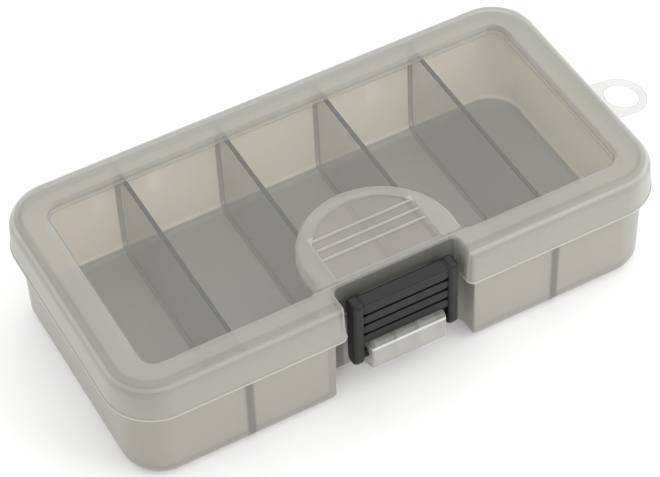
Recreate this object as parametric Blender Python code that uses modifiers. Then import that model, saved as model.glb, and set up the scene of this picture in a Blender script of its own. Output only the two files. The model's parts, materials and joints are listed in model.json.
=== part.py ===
"""Compartment storage box: a translucent tray with four cross partitions, a hinged lid and a front latch.

Metres, +Z up. The origin is the centre of the underside, +X runs along the box to the hang tab, and the
latch faces -Y. The lid turns about the pins at the back, and the latch about the stubs at its lower ends.
"""

import math

import bmesh
import bpy
from mathutils import Matrix, Vector

MM = 0.001

# Lid
LID_LENGTH = 186.0 * MM
LID_WIDTH = 94.8 * MM
CLOSED_HEIGHT = 43.75 * MM
SKIRT_DEPTH = 13.45 * MM
PLAN_RADIUS = 15.6 * MM
LID_EDGE_RADIUS = 4.4 * MM
LID_WALL = 1.5 * MM
LID_DRAFT = 0.5 * MM
BEAD_HEIGHT = 1.1 * MM
BEAD_PROUD = 0.3 * MM

# Latch notch in the front of the lid and, set back by the skirt, in the tray
NOTCH_WIDTH = 42.6 * MM
NOTCH_DEPTH = 9.4 * MM
NOTCH_MOUTH_RADIUS = 2.0 * MM
NOTCH_ROOT_RADIUS = 2.5 * MM
NOTCH_EDGE_RADIUS = 1.0 * MM

# Sunk window in the top of the lid
WINDOW_DEPTH = 1.5 * MM
WINDOW_WALL = 1.5 * MM
WINDOW_SLOPE = 0.9 * MM
WINDOW_END_BORDER = 11.0 * MM
WINDOW_FRONT_BORDER = 9.9 * MM
WINDOW_BACK_BORDER = 11.4 * MM
WINDOW_RADIUS = 5.5 * MM
WINDOW_JOIN_RADIUS = 4.0 * MM

# Thumb pad that bites into the window, with its sunk field and ribs
PAD_RADIUS = 24.5 * MM
PAD_SETBACK = 17.4 * MM
FIELD_RADIUS = 20.5 * MM
FIELD_WIDTH = 35.6 * MM
FIELD_DEPTH = 0.5 * MM
FIELD_LAND = 1.7 * MM
RIB_COUNT = 3
RIB_PITCH = 4.1 * MM
RIB_WIDTH = 0.9 * MM
RIB_HEIGHT = 0.45 * MM
RIB_FIRST_SETBACK = 28.9 * MM

# Tray
SKIRT_CLEARANCE = 0.75 * MM
NOTCH_CLEARANCE = 1.2 * MM
TRAY_WALL = 1.4 * MM
TRAY_FLOOR = 1.6 * MM
TRAY_DRAFT = 0.2 * MM
FOOT_RADIUS = 4.9 * MM
NOTCH_FOOT_RADIUS = 4.2 * MM
RIM_DROP = 0.8 * MM
RIM_CHAMFER = 0.6 * MM
RIM_LEAN = 0.4 * MM

# Partitions
PARTITION_COUNT = 4
PARTITION_PITCH = 35.5 * MM
PARTITION_WALL = 1.4 * MM
PARTITION_HEADROOM = 0.35 * MM
PARTITION_EDGE_RADIUS = 0.35 * MM
SEAT_DEPTH = 0.5 * MM

# Boss that carries the latch, cored from below
BOSS_SIDE_GAP = 1.6 * MM
BOSS_HEIGHT = 13.0 * MM
BOSS_RISE = 6.1 * MM
BOSS_NOSE_HEIGHT = 10.3 * MM
BOSS_NOSE_DEPTH = 5.4 * MM
BOSS_BROW = 2.0 * MM
BOSS_EDGE_RADIUS = 0.5 * MM
BOSS_WALL = 2.2 * MM
BOSS_CORES = 3
BOSS_CORE_WEB = 1.3 * MM

# Latch
LATCH_HEIGHT = 27.55 * MM
LATCH_SIDE_GAP = 3.1 * MM
RAIL_WIDTH = 3.7 * MM
RAIL_DEPTH = 5.5 * MM
LATCH_TOP_DROP = 3.05 * MM
LATCH_SETBACK = 1.3 * MM
PANEL_RECESS = 0.7 * MM
PANEL_WALL = 2.3 * MM
PANEL_CLEARANCE = 0.6 * MM
GROOVE_COUNT = 3
GROOVE_PITCH = 4.25 * MM
GROOVE_HEIGHT = 1.1 * MM
GROOVE_DEPTH = 1.2 * MM
FIRST_GROOVE_DROP = 5.8 * MM
PANEL_BROW_RADIUS = 0.9 * MM
PANEL_BROW_PROUD = 0.4 * MM
FLANGE_WALL = 2.6 * MM
LATCH_FRONT_ROUND = 1.7 * MM
LATCH_BACK_ROUND = 1.3 * MM
RAIL_EDGE_RADIUS = 0.8 * MM
STUB_RADIUS = 1.6 * MM
STUB_ENTRY = 1.4 * MM

# Ledge on the lid that the latch snaps to
LEDGE_WIDTH = 24.0 * MM
LEDGE_HEIGHT = 1.8 * MM
LEDGE_DROP = 1.3 * MM

# Hinges
HINGE_INSET = 43.5 * MM
HINGE_WIDTH = 24.6 * MM
EAR_WIDTH = 5.2 * MM
KNUCKLE_RADIUS = 2.4 * MM
KNUCKLE_SETBACK = 2.3 * MM
KNUCKLE_DROP = 0.6 * MM
EAR_GUSSET = 5.0 * MM
ARM_RISE = 5.2 * MM
PIN_RADIUS = 1.0 * MM
PIN_CHAMFER = 0.25 * MM
PIN_END_INSET = 0.3 * MM

# Hang tab
TAB_RADIUS = 8.5 * MM
TAB_HOLE_RADIUS = 5.8 * MM
TAB_REACH = 16.6 * MM
TAB_WALL = 1.3 * MM
TAB_DROP = 1.0 * MM
TAB_DROOP = math.radians(8)
TAB_EDGE_RADIUS = 0.3 * MM

# Clearances and the overruns of joins and cuts
RUNNING_GAP = 0.3 * MM
SEAT_GAP = 0.3 * MM
PIVOT_CLEARANCE = 0.1 * MM
PIN_CLEARANCE = 0.1 * MM
OVERRUN = 2.0 * MM
LEAST_RADIUS = 0.4 * MM

# Facets, and the angles past which an edge is sharp or a rim is rounded
PLAN_STEPS = 8
CORNER_STEPS = 4
EDGE_STEPS = 4
PAD_STEPS = 18
ROUND_STEPS = 20
KNUCKLE_STEPS = 12
BEVEL_STEPS = 3
SHARP_ANGLE = math.radians(35)
RIM_ANGLE = math.radians(60)

# Levels and faces that several pieces share
SKIRT_BOTTOM = CLOSED_HEIGHT - SKIRT_DEPTH
LID_UNDERSIDE = CLOSED_HEIGHT - LID_WALL
WINDOW_TOP = CLOSED_HEIGHT - WINDOW_DEPTH
WINDOW_UNDERSIDE = WINDOW_TOP - WINDOW_WALL
RIM_TOP = LID_UNDERSIDE - RIM_DROP
NOTCH_RIM_TOP = WINDOW_UNDERSIDE - RUNNING_GAP
TRAY_INSET = LID_WALL + SKIRT_CLEARANCE
NOTCH_INSET = LID_WALL + NOTCH_CLEARANCE
FRONT = -LID_WIDTH / 2
NOTCH_BACK = FRONT + NOTCH_DEPTH
PAD_CENTRE_Y = FRONT + PAD_SETBACK
LATCH_FRONT = FRONT + LATCH_SETBACK
LATCH_BACK = LATCH_FRONT + RAIL_DEPTH
LATCH_TOP = CLOSED_HEIGHT - LATCH_TOP_DROP
RAIL_INNER = NOTCH_WIDTH / 2 - LATCH_SIDE_GAP - RAIL_WIDTH
PIVOT_Y = LATCH_FRONT + RAIL_DEPTH / 2
PIVOT_HEIGHT = LATCH_TOP - LATCH_HEIGHT + RAIL_DEPTH / 2
BOSS_WIDTH = 2 * (RAIL_INNER - BOSS_SIDE_GAP)
BOSS_TOP = PIVOT_HEIGHT + BOSS_RISE
BOSS_UNDERSIDE = BOSS_TOP - BOSS_HEIGHT
LEDGE_REACH = NOTCH_BACK - LATCH_BACK - RUNNING_GAP
HINGE_X = LID_LENGTH / 2 - HINGE_INSET
HINGE_Y = LID_WIDTH / 2 + KNUCKLE_SETBACK
HINGE_Z = SKIRT_BOTTOM - KNUCKLE_DROP - KNUCKLE_RADIUS

SIDES = (-1, 1)


# Collections, materials and meshes

FINISHES = {
    "tray": ((0.66, 0.63, 0.57, 1.0), 0.34, 0.0, 0.55),
    "lid": ((0.70, 0.71, 0.67, 1.0), 0.32, 0.0, 0.50),
    "latch": ((0.045, 0.043, 0.042, 1.0), 0.42, 0.0, 1.0),
    "partition": ((0.55, 0.54, 0.50, 1.0), 0.36, 0.0, 0.60),
    "hinge_pin": ((0.62, 0.62, 0.61, 1.0), 0.28, 1.0, 1.0),
}


def clear_scene():
    for obj in list(bpy.data.objects):
        bpy.data.objects.remove(obj)


def new_collection(name):
    collection = bpy.data.collections.new(name)
    bpy.context.scene.collection.children.link(collection)
    return collection


def finish_of(name, kind):
    """A material of the object's own, in the colour, roughness, metallic value and opacity of its kind."""
    colour, roughness, metallic, opacity = FINISHES[kind]
    material = bpy.data.materials.new(name + "_finish")
    material.use_nodes = True
    shader = material.node_tree.nodes["Principled BSDF"]
    shader.inputs["Base Color"].default_value = colour
    shader.inputs["Roughness"].default_value = roughness
    shader.inputs["Metallic"].default_value = metallic
    shader.inputs["Alpha"].default_value = opacity
    material.diffuse_color = colour
    return material


def add_object(name, mesh, collection):
    obj = bpy.data.objects.new(name, mesh)
    collection.objects.link(obj)
    return obj


def add_part(name, mesh, kind, collection):
    """A visible piece of the box, shaded smooth over its round faces."""
    mesh.shade_smooth()
    mesh.set_sharp_from_angle(angle=SHARP_ANGLE)
    mesh.materials.append(finish_of(name, kind))
    return add_object(name, mesh, collection)


def add_tool(name, mesh, collection):
    """A helper shape that a Boolean joins or cuts away."""
    obj = add_object(name, mesh, collection)
    obj.hide_render = True
    obj.display_type = "WIRE"
    return obj


def combine(target, tool, operation):
    modifier = target.modifiers.new(tool.name, "BOOLEAN")
    modifier.operation = operation
    modifier.solver = "EXACT"
    modifier.object = tool


def join(target, tool):
    combine(target, tool, "UNION")


def cut(target, tool):
    combine(target, tool, "DIFFERENCE")


def mesh_of(bm, name):
    bmesh.ops.recalc_face_normals(bm, faces=bm.faces)
    mesh = bpy.data.meshes.new(name)
    bm.to_mesh(mesh)
    bm.free()
    return mesh


def block(name, low, high):
    """A box between two corners."""
    bm = bmesh.new()
    low, high = Vector(low), Vector(high)
    place = Matrix.Translation((low + high) / 2)
    bmesh.ops.create_cube(bm, size=1, matrix=place @ Matrix.Diagonal((*(high - low), 1)))
    return mesh_of(bm, name)


def rod(name, radius, start_x, end_x, y, z):
    """A cylinder along X."""
    bm = bmesh.new()
    turn = Matrix.Rotation(math.radians(90), 4, "Y")
    place = Matrix.Translation(((start_x + end_x) / 2, y, z))
    bmesh.ops.create_cone(
        bm, cap_ends=True, segments=ROUND_STEPS, radius1=radius, radius2=radius,
        depth=abs(end_x - start_x), matrix=place @ turn,
    )
    return mesh_of(bm, name)


def loft(rings):
    """A closed mesh through rings of equally many points, with a cap on the first and the last."""
    bm = bmesh.new()
    loops = [[bm.verts.new(point) for point in ring] for ring in rings]
    for lower, upper in zip(loops, loops[1:]):
        for i in range(len(lower)):
            j = (i + 1) % len(lower)
            bm.faces.new((lower[i], lower[j], upper[j], upper[i]))
    bm.faces.new(reversed(loops[0]))
    bm.faces.new(loops[-1])
    return bm


def profile_mesh(name, outline, thickness, bevel=0):
    """A flat outline given its thickness: a filled 2D curve, made a welded mesh, with its rims rounded."""
    curve = bpy.data.curves.new(name, "CURVE")
    curve.dimensions = "2D"
    curve.fill_mode = "BOTH"
    curve.extrude = thickness / 2
    for loop in outline:
        spline = curve.splines.new("POLY")
        spline.points.add(len(loop) - 1)
        for point, (u, v) in zip(spline.points, loop):
            point.co = (u, v, 0, 1)
        spline.use_cyclic_u = True
    holder = bpy.data.objects.new(name, curve)
    bpy.context.scene.collection.objects.link(holder)
    graph = bpy.context.evaluated_depsgraph_get()
    mesh = bpy.data.meshes.new_from_object(holder.evaluated_get(graph))
    bpy.data.objects.remove(holder)
    bpy.data.curves.remove(curve)
    bm = bmesh.new()
    bm.from_mesh(mesh)
    bpy.data.meshes.remove(mesh)
    bmesh.ops.remove_doubles(bm, verts=bm.verts, dist=LEAST_RADIUS / 100)
    bmesh.ops.dissolve_limit(bm, angle_limit=math.radians(1), verts=bm.verts, edges=bm.edges)
    if bevel:
        rims = [edge for edge in bm.edges if edge.calc_face_angle(0) > RIM_ANGLE]
        bmesh.ops.bevel(
            bm, geom=rims, affect="EDGES", offset=bevel, segments=BEVEL_STEPS, profile=0.5,
            clamp_overlap=True,
        )
    return mesh_of(bm, name)


def across(mesh, centre_x):
    """Stands an outline drawn in (Y, Z) up, so that its thickness runs along X about centre_x."""
    upright = Matrix(((0, 0, 1), (1, 0, 0), (0, 1, 0))).to_4x4()
    mesh.transform(Matrix.Translation((centre_x, 0, 0)) @ upright)
    return mesh


def arc(centre, radius, start, end, steps):
    """Points on a circle from one angle to another, in degrees."""
    angles = [math.radians(start + (end - start) * i / steps) for i in range(steps + 1)]
    return [(centre[0] + radius * math.cos(a), centre[1] + radius * math.sin(a)) for a in angles]


# The plan of the box, which lid and tray share

def plan_corners(rim_inset, notch_inset):
    """(x, y, radius, part before, part after) of each corner, anticlockwise from the right front one.

    The rim (part 0) and the latch notch (part 1) are set in from the lid's outside, each by its own inset.
    """
    end = LID_LENGTH / 2 - rim_inset
    side = LID_WIDTH / 2 - rim_inset
    half = NOTCH_WIDTH / 2 + notch_inset
    back = NOTCH_BACK + notch_inset
    depth = back + side
    outer = max(PLAN_RADIUS - rim_inset, LEAST_RADIUS)
    mouth = max(min(NOTCH_MOUTH_RADIUS - (rim_inset + notch_inset) / 2, depth / 2), LEAST_RADIUS)
    root = min(NOTCH_ROOT_RADIUS + notch_inset, depth / 2)
    return [
        (end, -side, outer, 0, 0),
        (end, side, outer, 0, 0),
        (-end, side, outer, 0, 0),
        (-end, -side, outer, 0, 0),
        (-half, -side, mouth, 0, 1),
        (-half, back, root, 1, 1),
        (half, back, root, 1, 1),
        (half, -side, mouth, 1, 0),
    ]


def plan_ring(insets, heights):
    """One turn round the plan: an inset and a height for the rim, and one of each for the notch."""
    corners = plan_corners(*insets)
    ring = []
    for i, (x, y, radius, before, after) in enumerate(corners):
        last, following = corners[i - 1], corners[(i + 1) % len(corners)]
        corner = Vector((x, y))
        arriving = (corner - Vector(last[:2])).normalized()
        leaving = (Vector(following[:2]) - corner).normalized()
        centre = corner + (leaving - arriving) * radius
        steps = CORNER_STEPS if 1 in (before, after) else PLAN_STEPS
        for step in range(steps + 1):
            share = step / steps
            turn = share * math.pi / 2
            point = centre + (arriving * math.sin(turn) - leaving * math.cos(turn)) * radius
            height = heights[before] * (1 - share) + heights[after] * share
            ring.append((point.x, point.y, height))
    return ring


def sweep(rim_section, notch_section):
    """Carries a wall's section, a list of (inset, height), once round the plan."""
    rings = []
    for (rim_inset, rim_height), (notch_inset, notch_height) in zip(rim_section, notch_section):
        rings.append(plan_ring((rim_inset, notch_inset), (rim_height, notch_height)))
    return loft(rings)


def lid_section(edge_radius):
    """From the middle of the top over the edge, down the skirt to its bead, and back up inside."""
    inner_radius = max(edge_radius - LID_WALL, LEAST_RADIUS)
    bead_top = SKIRT_BOTTOM + BEAD_HEIGHT
    over = arc((edge_radius, CLOSED_HEIGHT - edge_radius), edge_radius, 90, 180, EDGE_STEPS)
    skirt = [
        (-LID_DRAFT, bead_top + BEAD_PROUD),
        (-LID_DRAFT - BEAD_PROUD, bead_top),
        (-LID_DRAFT - BEAD_PROUD, SKIRT_BOTTOM + BEAD_PROUD),
        (-LID_DRAFT, SKIRT_BOTTOM),
        (LID_WALL - LID_DRAFT, SKIRT_BOTTOM),
    ]
    centre = (LID_WALL + inner_radius, LID_UNDERSIDE - inner_radius)
    return over + skirt + arc(centre, inner_radius, 180, 90, EDGE_STEPS)


def tray_section(inset, foot_radius, rim_top):
    """From the middle of the underside round the foot, up to the rim, and down inside to the floor."""
    foot = inset + TRAY_DRAFT
    inner_radius = max(foot_radius - TRAY_WALL, LEAST_RADIUS)
    outside = arc((foot + foot_radius, foot_radius), foot_radius, 270, 180, EDGE_STEPS)
    lip = inset + RIM_LEAN
    rim = [
        (inset, SKIRT_BOTTOM),
        (lip, rim_top - RIM_CHAMFER),
        (lip + RIM_CHAMFER, rim_top),
        (lip + TRAY_WALL - RIM_CHAMFER, rim_top),
        (lip + TRAY_WALL, rim_top - RIM_CHAMFER),
        (inset + TRAY_WALL, SKIRT_BOTTOM),
    ]
    centre = (foot + TRAY_WALL + inner_radius, TRAY_FLOOR + inner_radius)
    return outside + rim + arc(centre, inner_radius, 180, 270, EDGE_STEPS)


# The window and the thumb pad

def window_ring(inset, height):
    """The window's outline, set in by an inset: a rounded oblong that the pad bites into at the front."""
    end = LID_LENGTH / 2 - WINDOW_END_BORDER - inset
    front = FRONT + WINDOW_FRONT_BORDER + inset
    back = LID_WIDTH / 2 - WINDOW_BACK_BORDER - inset
    radius = max(WINDOW_RADIUS - inset, LEAST_RADIUS)
    bend = max(WINDOW_JOIN_RADIUS - inset, LEAST_RADIUS)
    pad = PAD_RADIUS + inset
    bend_y = front + bend
    bend_x = math.sqrt((pad + bend) ** 2 - (bend_y - PAD_CENTRE_Y) ** 2)
    dip = math.degrees(math.atan2(PAD_CENTRE_Y - bend_y, bend_x))
    points = []
    points += arc((end - radius, front + radius), radius, 270, 360, CORNER_STEPS)
    points += arc((end - radius, back - radius), radius, 0, 90, CORNER_STEPS)
    points += arc((radius - end, back - radius), radius, 90, 180, CORNER_STEPS)
    points += arc((radius - end, front + radius), radius, 180, 270, CORNER_STEPS)
    points += arc((-bend_x, bend_y), bend, 270, 360 + dip, CORNER_STEPS)
    points += arc((0, PAD_CENTRE_Y), pad, 180 + dip, -dip, PAD_STEPS)[1:-1]
    points += arc((bend_x, bend_y), bend, 180 - dip, 270, CORNER_STEPS)
    return [(x, y, height) for x, y in points]


def field_outline():
    """The pad's sunk field: a disc cut straight at its sides and along the notch."""
    half = FIELD_WIDTH / 2
    front = NOTCH_BACK + FIELD_LAND
    lift = math.degrees(math.acos(half / FIELD_RADIUS))
    crown = arc((0, PAD_CENTRE_Y), FIELD_RADIUS, lift, 180 - lift, PAD_STEPS)
    return [(half, front)] + crown + [(-half, front)]


def make_lid(parts, tools):
    """The lid, with its origin on the hinge axis: a shell, then its window, pad, ledge and hinge arms."""
    axis = Vector((0, HINGE_Y, HINGE_Z))
    shell = mesh_of(sweep(lid_section(LID_EDGE_RADIUS), lid_section(NOTCH_EDGE_RADIUS)), "lid")
    shell.transform(Matrix.Translation(-axis))
    lid = add_part("lid", shell, "lid", parts)
    lid.location = axis

    into_top = LID_UNDERSIDE + LID_WALL / 2
    floor = loft([window_ring(-LID_WALL, WINDOW_UNDERSIDE), window_ring(-LID_WALL, into_top)])
    join(lid, add_tool("window_floor", mesh_of(floor, "window_floor"), tools))
    flare = WINDOW_SLOPE * OVERRUN / WINDOW_DEPTH
    sunk = loft([window_ring(WINDOW_SLOPE, WINDOW_TOP), window_ring(-flare, CLOSED_HEIGHT + OVERRUN)])
    cut(lid, add_tool("window_sink", mesh_of(sunk, "window_sink"), tools))

    field_top = CLOSED_HEIGHT - FIELD_DEPTH
    field = profile_mesh("pad_field", [field_outline()], OVERRUN)
    field.transform(Matrix.Translation((0, 0, field_top + OVERRUN / 2)))
    cut(lid, add_tool("pad_field", field, tools))
    for i in range(RIB_COUNT):
        y = FRONT + RIB_FIRST_SETBACK - i * RIB_PITCH
        half = min(FIELD_WIDTH / 2, math.sqrt(FIELD_RADIUS**2 - (y - PAD_CENTRE_Y) ** 2)) + RIB_WIDTH / 2
        rib_top = field_top + RIB_HEIGHT
        outline = [
            (y - RIB_WIDTH / 2, field_top - FIELD_DEPTH / 2),
            (y + RIB_WIDTH / 2, field_top - FIELD_DEPTH / 2),
            (y + RIB_WIDTH / 2, rib_top - RIB_HEIGHT / 2),
            (y + RIB_WIDTH / 4, rib_top),
            (y - RIB_WIDTH / 4, rib_top),
            (y - RIB_WIDTH / 2, rib_top - RIB_HEIGHT / 2),
        ]
        rib = across(profile_mesh(f"pad_rib_{i + 1}", [outline], 2 * half), 0)
        join(lid, add_tool(f"pad_rib_{i + 1}", rib, tools))

    top = LATCH_TOP - FLANGE_WALL - LEDGE_DROP
    ledge = [
        (NOTCH_BACK + LID_WALL / 2, top),
        (NOTCH_BACK - LEDGE_REACH, top),
        (NOTCH_BACK - LEDGE_REACH, top - LEDGE_HEIGHT / 2),
        (NOTCH_BACK + LID_WALL / 2, top - LEDGE_HEIGHT - LEDGE_REACH / 2),
    ]
    join(lid, add_tool("catch_ledge", across(profile_mesh("catch_ledge", [ledge], LEDGE_WIDTH), 0), tools))

    for side in SIDES:
        name = side_name(side)
        centre = side * HINGE_X
        arm_width = HINGE_WIDTH - 2 * (EAR_WIDTH + RUNNING_GAP)
        arm = across(profile_mesh("hinge_arm_" + name, [arm_outline()], arm_width), centre)
        join(lid, add_tool("hinge_arm_" + name, arm, tools))
        cut(lid, hinge_bore("lid_bore_" + name, side, tools))
    return lid


# The tray with its boss, hinge ears and hang tab

def side_name(side):
    return "right" if side > 0 else "left"


def arm_outline():
    """The lid's hinge arm in (Y, Z): from the back of the skirt down and round the pin."""
    skirt = LID_WIDTH / 2 - LID_WALL / 2
    round_pin = arc((HINGE_Y, HINGE_Z), KNUCKLE_RADIUS, 30, -180, KNUCKLE_STEPS)
    foot = SKIRT_BOTTOM + BEAD_HEIGHT / 2
    root = [(HINGE_Y - KNUCKLE_RADIUS, foot), (skirt, foot)]
    return [(skirt, SKIRT_BOTTOM + ARM_RISE)] + round_pin + root


def ear_outline():
    """The tray's hinge ear in (Y, Z): from the back wall out and round the pin, with a gusset below."""
    wall = LID_WIDTH / 2 - TRAY_INSET - TRAY_WALL / 2
    round_pin = arc((HINGE_Y, HINGE_Z), KNUCKLE_RADIUS, 90, -60, KNUCKLE_STEPS)
    return [(wall, HINGE_Z + KNUCKLE_RADIUS)] + round_pin + [(wall, HINGE_Z - KNUCKLE_RADIUS - EAR_GUSSET)]


def hinge_bore(name, side, tools):
    """The pin's hole, which runs clear through the hinge on one side of the box."""
    half = HINGE_WIDTH / 2 + OVERRUN
    centre = side * HINGE_X
    bore = rod(name, PIN_RADIUS + PIN_CLEARANCE, centre - half, centre + half, HINGE_Y, HINGE_Z)
    return add_tool(name, bore, tools)


def partition_places():
    """The middle of each partition along X, evenly spaced about the middle of the box."""
    return [(i - (PARTITION_COUNT - 1) / 2) * PARTITION_PITCH for i in range(PARTITION_COUNT)]


def partition_outline(x, growth, top):
    """A partition in (Y, Z), let into the walls and the floor, and grown all round for its groove."""
    reach = SEAT_DEPTH + growth
    rim_inner = TRAY_INSET + TRAY_WALL
    notch_inner = NOTCH_INSET + TRAY_WALL
    in_notch = abs(x) < NOTCH_WIDTH / 2 + notch_inner
    front_side = (NOTCH_BACK + notch_inner if in_notch else FRONT + rim_inner) - reach
    front_foot = front_side + TRAY_DRAFT
    front_top = front_side + RIM_LEAN
    back_side = LID_WIDTH / 2 - rim_inner + reach
    back_foot = back_side - TRAY_DRAFT
    back_top = back_side - RIM_LEAN
    front_radius = (NOTCH_FOOT_RADIUS if in_notch else FOOT_RADIUS) - TRAY_WALL + reach
    back_radius = FOOT_RADIUS - TRAY_WALL + reach
    foot = TRAY_FLOOR - reach
    front_corner = arc((front_foot + front_radius, foot + front_radius), front_radius, 180, 270, EDGE_STEPS)
    back_corner = arc((back_foot - back_radius, foot + back_radius), back_radius, 270, 360, EDGE_STEPS)
    front = [(front_top, top), (front_side, SKIRT_BOTTOM)] + front_corner
    return front + back_corner + [(back_side, SKIRT_BOTTOM), (back_top, top)]


def make_boss(tray, tools):
    """The latch's boss, between the rails: a block on the notch wall, with its stub holes and cores."""
    half = BOSS_WIDTH / 2
    wall = NOTCH_BACK + NOTCH_INSET + TRAY_WALL / 2
    nose = BOSS_TOP - BOSS_NOSE_HEIGHT
    outline = [
        (wall, BOSS_UNDERSIDE),
        (wall, BOSS_TOP),
        (FRONT + BOSS_BROW, BOSS_TOP),
        (FRONT + BOSS_BROW / 4, BOSS_TOP - BOSS_BROW / 3),
        (FRONT, BOSS_TOP - BOSS_BROW),
        (FRONT, nose),
        (FRONT + BOSS_NOSE_DEPTH, BOSS_UNDERSIDE),
    ]
    block_mesh = across(profile_mesh("latch_boss", [outline], BOSS_WIDTH, BOSS_EDGE_RADIUS), 0)
    join(tray, add_tool("latch_boss", block_mesh, tools))

    width = (BOSS_WIDTH - 2 * BOSS_WALL - (BOSS_CORES - 1) * BOSS_CORE_WEB) / BOSS_CORES
    back = NOTCH_BACK + NOTCH_INSET - BOSS_WALL / 2
    for i in range(BOSS_CORES):
        low_x = -half + BOSS_WALL + i * (width + BOSS_CORE_WEB)
        low = (low_x, FRONT + BOSS_WALL, BOSS_UNDERSIDE - OVERRUN)
        name = f"boss_core_{i + 1}"
        cut(tray, add_tool(name, block(name, low, (low_x + width, back, BOSS_TOP - BOSS_WALL)), tools))
    for side in SIDES:
        name = "stub_hole_" + side_name(side)
        inner_end = side * (half - STUB_ENTRY - PIVOT_CLEARANCE)
        outer_end = side * (half + OVERRUN)
        hole = rod(name, STUB_RADIUS + PIVOT_CLEARANCE, inner_end, outer_end, PIVOT_Y, PIVOT_HEIGHT)
        cut(tray, add_tool(name, hole, tools))


def make_hang_tab(tray, tools):
    """A flat tongue with a round hole, drooping from the right end wall just under the skirt."""
    root = -TRAY_WALL / 2
    sides = arc((TAB_REACH, 0), TAB_RADIUS, -90, 90, PLAN_STEPS * 2)
    outline = [(root, -TAB_RADIUS)] + sides + [(root, TAB_RADIUS)]
    hole = arc((TAB_REACH, 0), TAB_HOLE_RADIUS, 360, 0, ROUND_STEPS)[:-1]
    tab = profile_mesh("hang_tab", [outline, hole], TAB_WALL, TAB_EDGE_RADIUS)
    wall = LID_LENGTH / 2 - TRAY_INSET
    height = SKIRT_BOTTOM - TAB_DROP
    tab.transform(Matrix.Translation((wall, 0, height)) @ Matrix.Rotation(TAB_DROOP, 4, "Y"))
    join(tray, add_tool("hang_tab", tab, tools))


def make_tray(parts, tools):
    """The tray: a shell, its partition grooves, the boss, two pairs of hinge ears and the hang tab."""
    rim = tray_section(TRAY_INSET, FOOT_RADIUS, RIM_TOP)
    notch = tray_section(NOTCH_INSET, NOTCH_FOOT_RADIUS, NOTCH_RIM_TOP)
    shell = sweep(rim, notch)
    tray = add_part("tray", mesh_of(shell, "tray"), "tray", parts)
    for i, x in enumerate(partition_places()):
        outline = partition_outline(x, SEAT_GAP, RIM_TOP + OVERRUN)
        groove = across(profile_mesh(f"groove_{i + 1}", [outline], PARTITION_WALL + 2 * SEAT_GAP), x)
        cut(tray, add_tool(f"groove_{i + 1}", groove, tools))
    make_boss(tray, tools)
    for side in SIDES:
        for end in SIDES:
            name = f"hinge_ear_{side_name(side)}_{side_name(end)}"
            centre = side * HINGE_X + end * (HINGE_WIDTH - EAR_WIDTH) / 2
            ear = across(profile_mesh(name, [ear_outline()], EAR_WIDTH), centre)
            join(tray, add_tool(name, ear, tools))
        cut(tray, hinge_bore("tray_bore_" + side_name(side), side, tools))
    make_hang_tab(tray, tools)
    return tray


def make_partitions(parts):
    """The four plates, each with its origin on its own middle plane."""
    top = WINDOW_UNDERSIDE - PARTITION_HEADROOM
    for i, x in enumerate(partition_places()):
        name = f"partition_{i + 1}"
        plate = profile_mesh(name, [partition_outline(x, 0, top)], PARTITION_WALL, PARTITION_EDGE_RADIUS)
        plate = add_part(name, across(plate, 0), "partition", parts)
        plate.location.x = x


def make_pins(parts):
    """A turned steel pin in each hinge, with a chamfer at both ends."""
    half = HINGE_WIDTH / 2 - PIN_END_INSET
    profile = [
        (0, half),
        (PIN_RADIUS - PIN_CHAMFER, half),
        (PIN_RADIUS, half - PIN_CHAMFER),
        (PIN_RADIUS, PIN_CHAMFER - half),
        (PIN_RADIUS - PIN_CHAMFER, -half),
        (0, -half),
    ]
    for side in SIDES:
        name = "hinge_pin_" + side_name(side)
        mesh = bpy.data.meshes.new(name)
        points = [(x, 0, z) for x, z in profile]
        mesh.from_pydata(points, [(i, i + 1) for i in range(len(points) - 1)], [])
        mesh.materials.append(finish_of(name, "hinge_pin"))
        pin = add_object(name, mesh, parts)
        turn = pin.modifiers.new("turned", "SCREW")
        turn.steps = turn.render_steps = ROUND_STEPS
        turn.use_merge_vertices = True
        turn.merge_threshold = LEAST_RADIUS / 100
        turn.use_smooth_shade = True
        pin.rotation_euler.y = math.radians(90)
        pin.location = (side * HINGE_X, HINGE_Y, HINGE_Z)


# The latch

def rail_outline():
    """A side rail in (Y, Z) about the pivot: round below, with a rounded brow and heel on top."""
    front, back, top = LATCH_FRONT - PIVOT_Y, LATCH_BACK - PIVOT_Y, LATCH_TOP - PIVOT_HEIGHT
    foot = arc((0, 0), RAIL_DEPTH / 2, 180, 360, KNUCKLE_STEPS)
    heel = arc((back - LATCH_BACK_ROUND, top - LATCH_BACK_ROUND), LATCH_BACK_ROUND, 0, 90, EDGE_STEPS)
    brow = arc((front + LATCH_FRONT_ROUND, top - LATCH_FRONT_ROUND), LATCH_FRONT_ROUND, 90, 180, EDGE_STEPS)
    return foot + heel + brow


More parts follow.
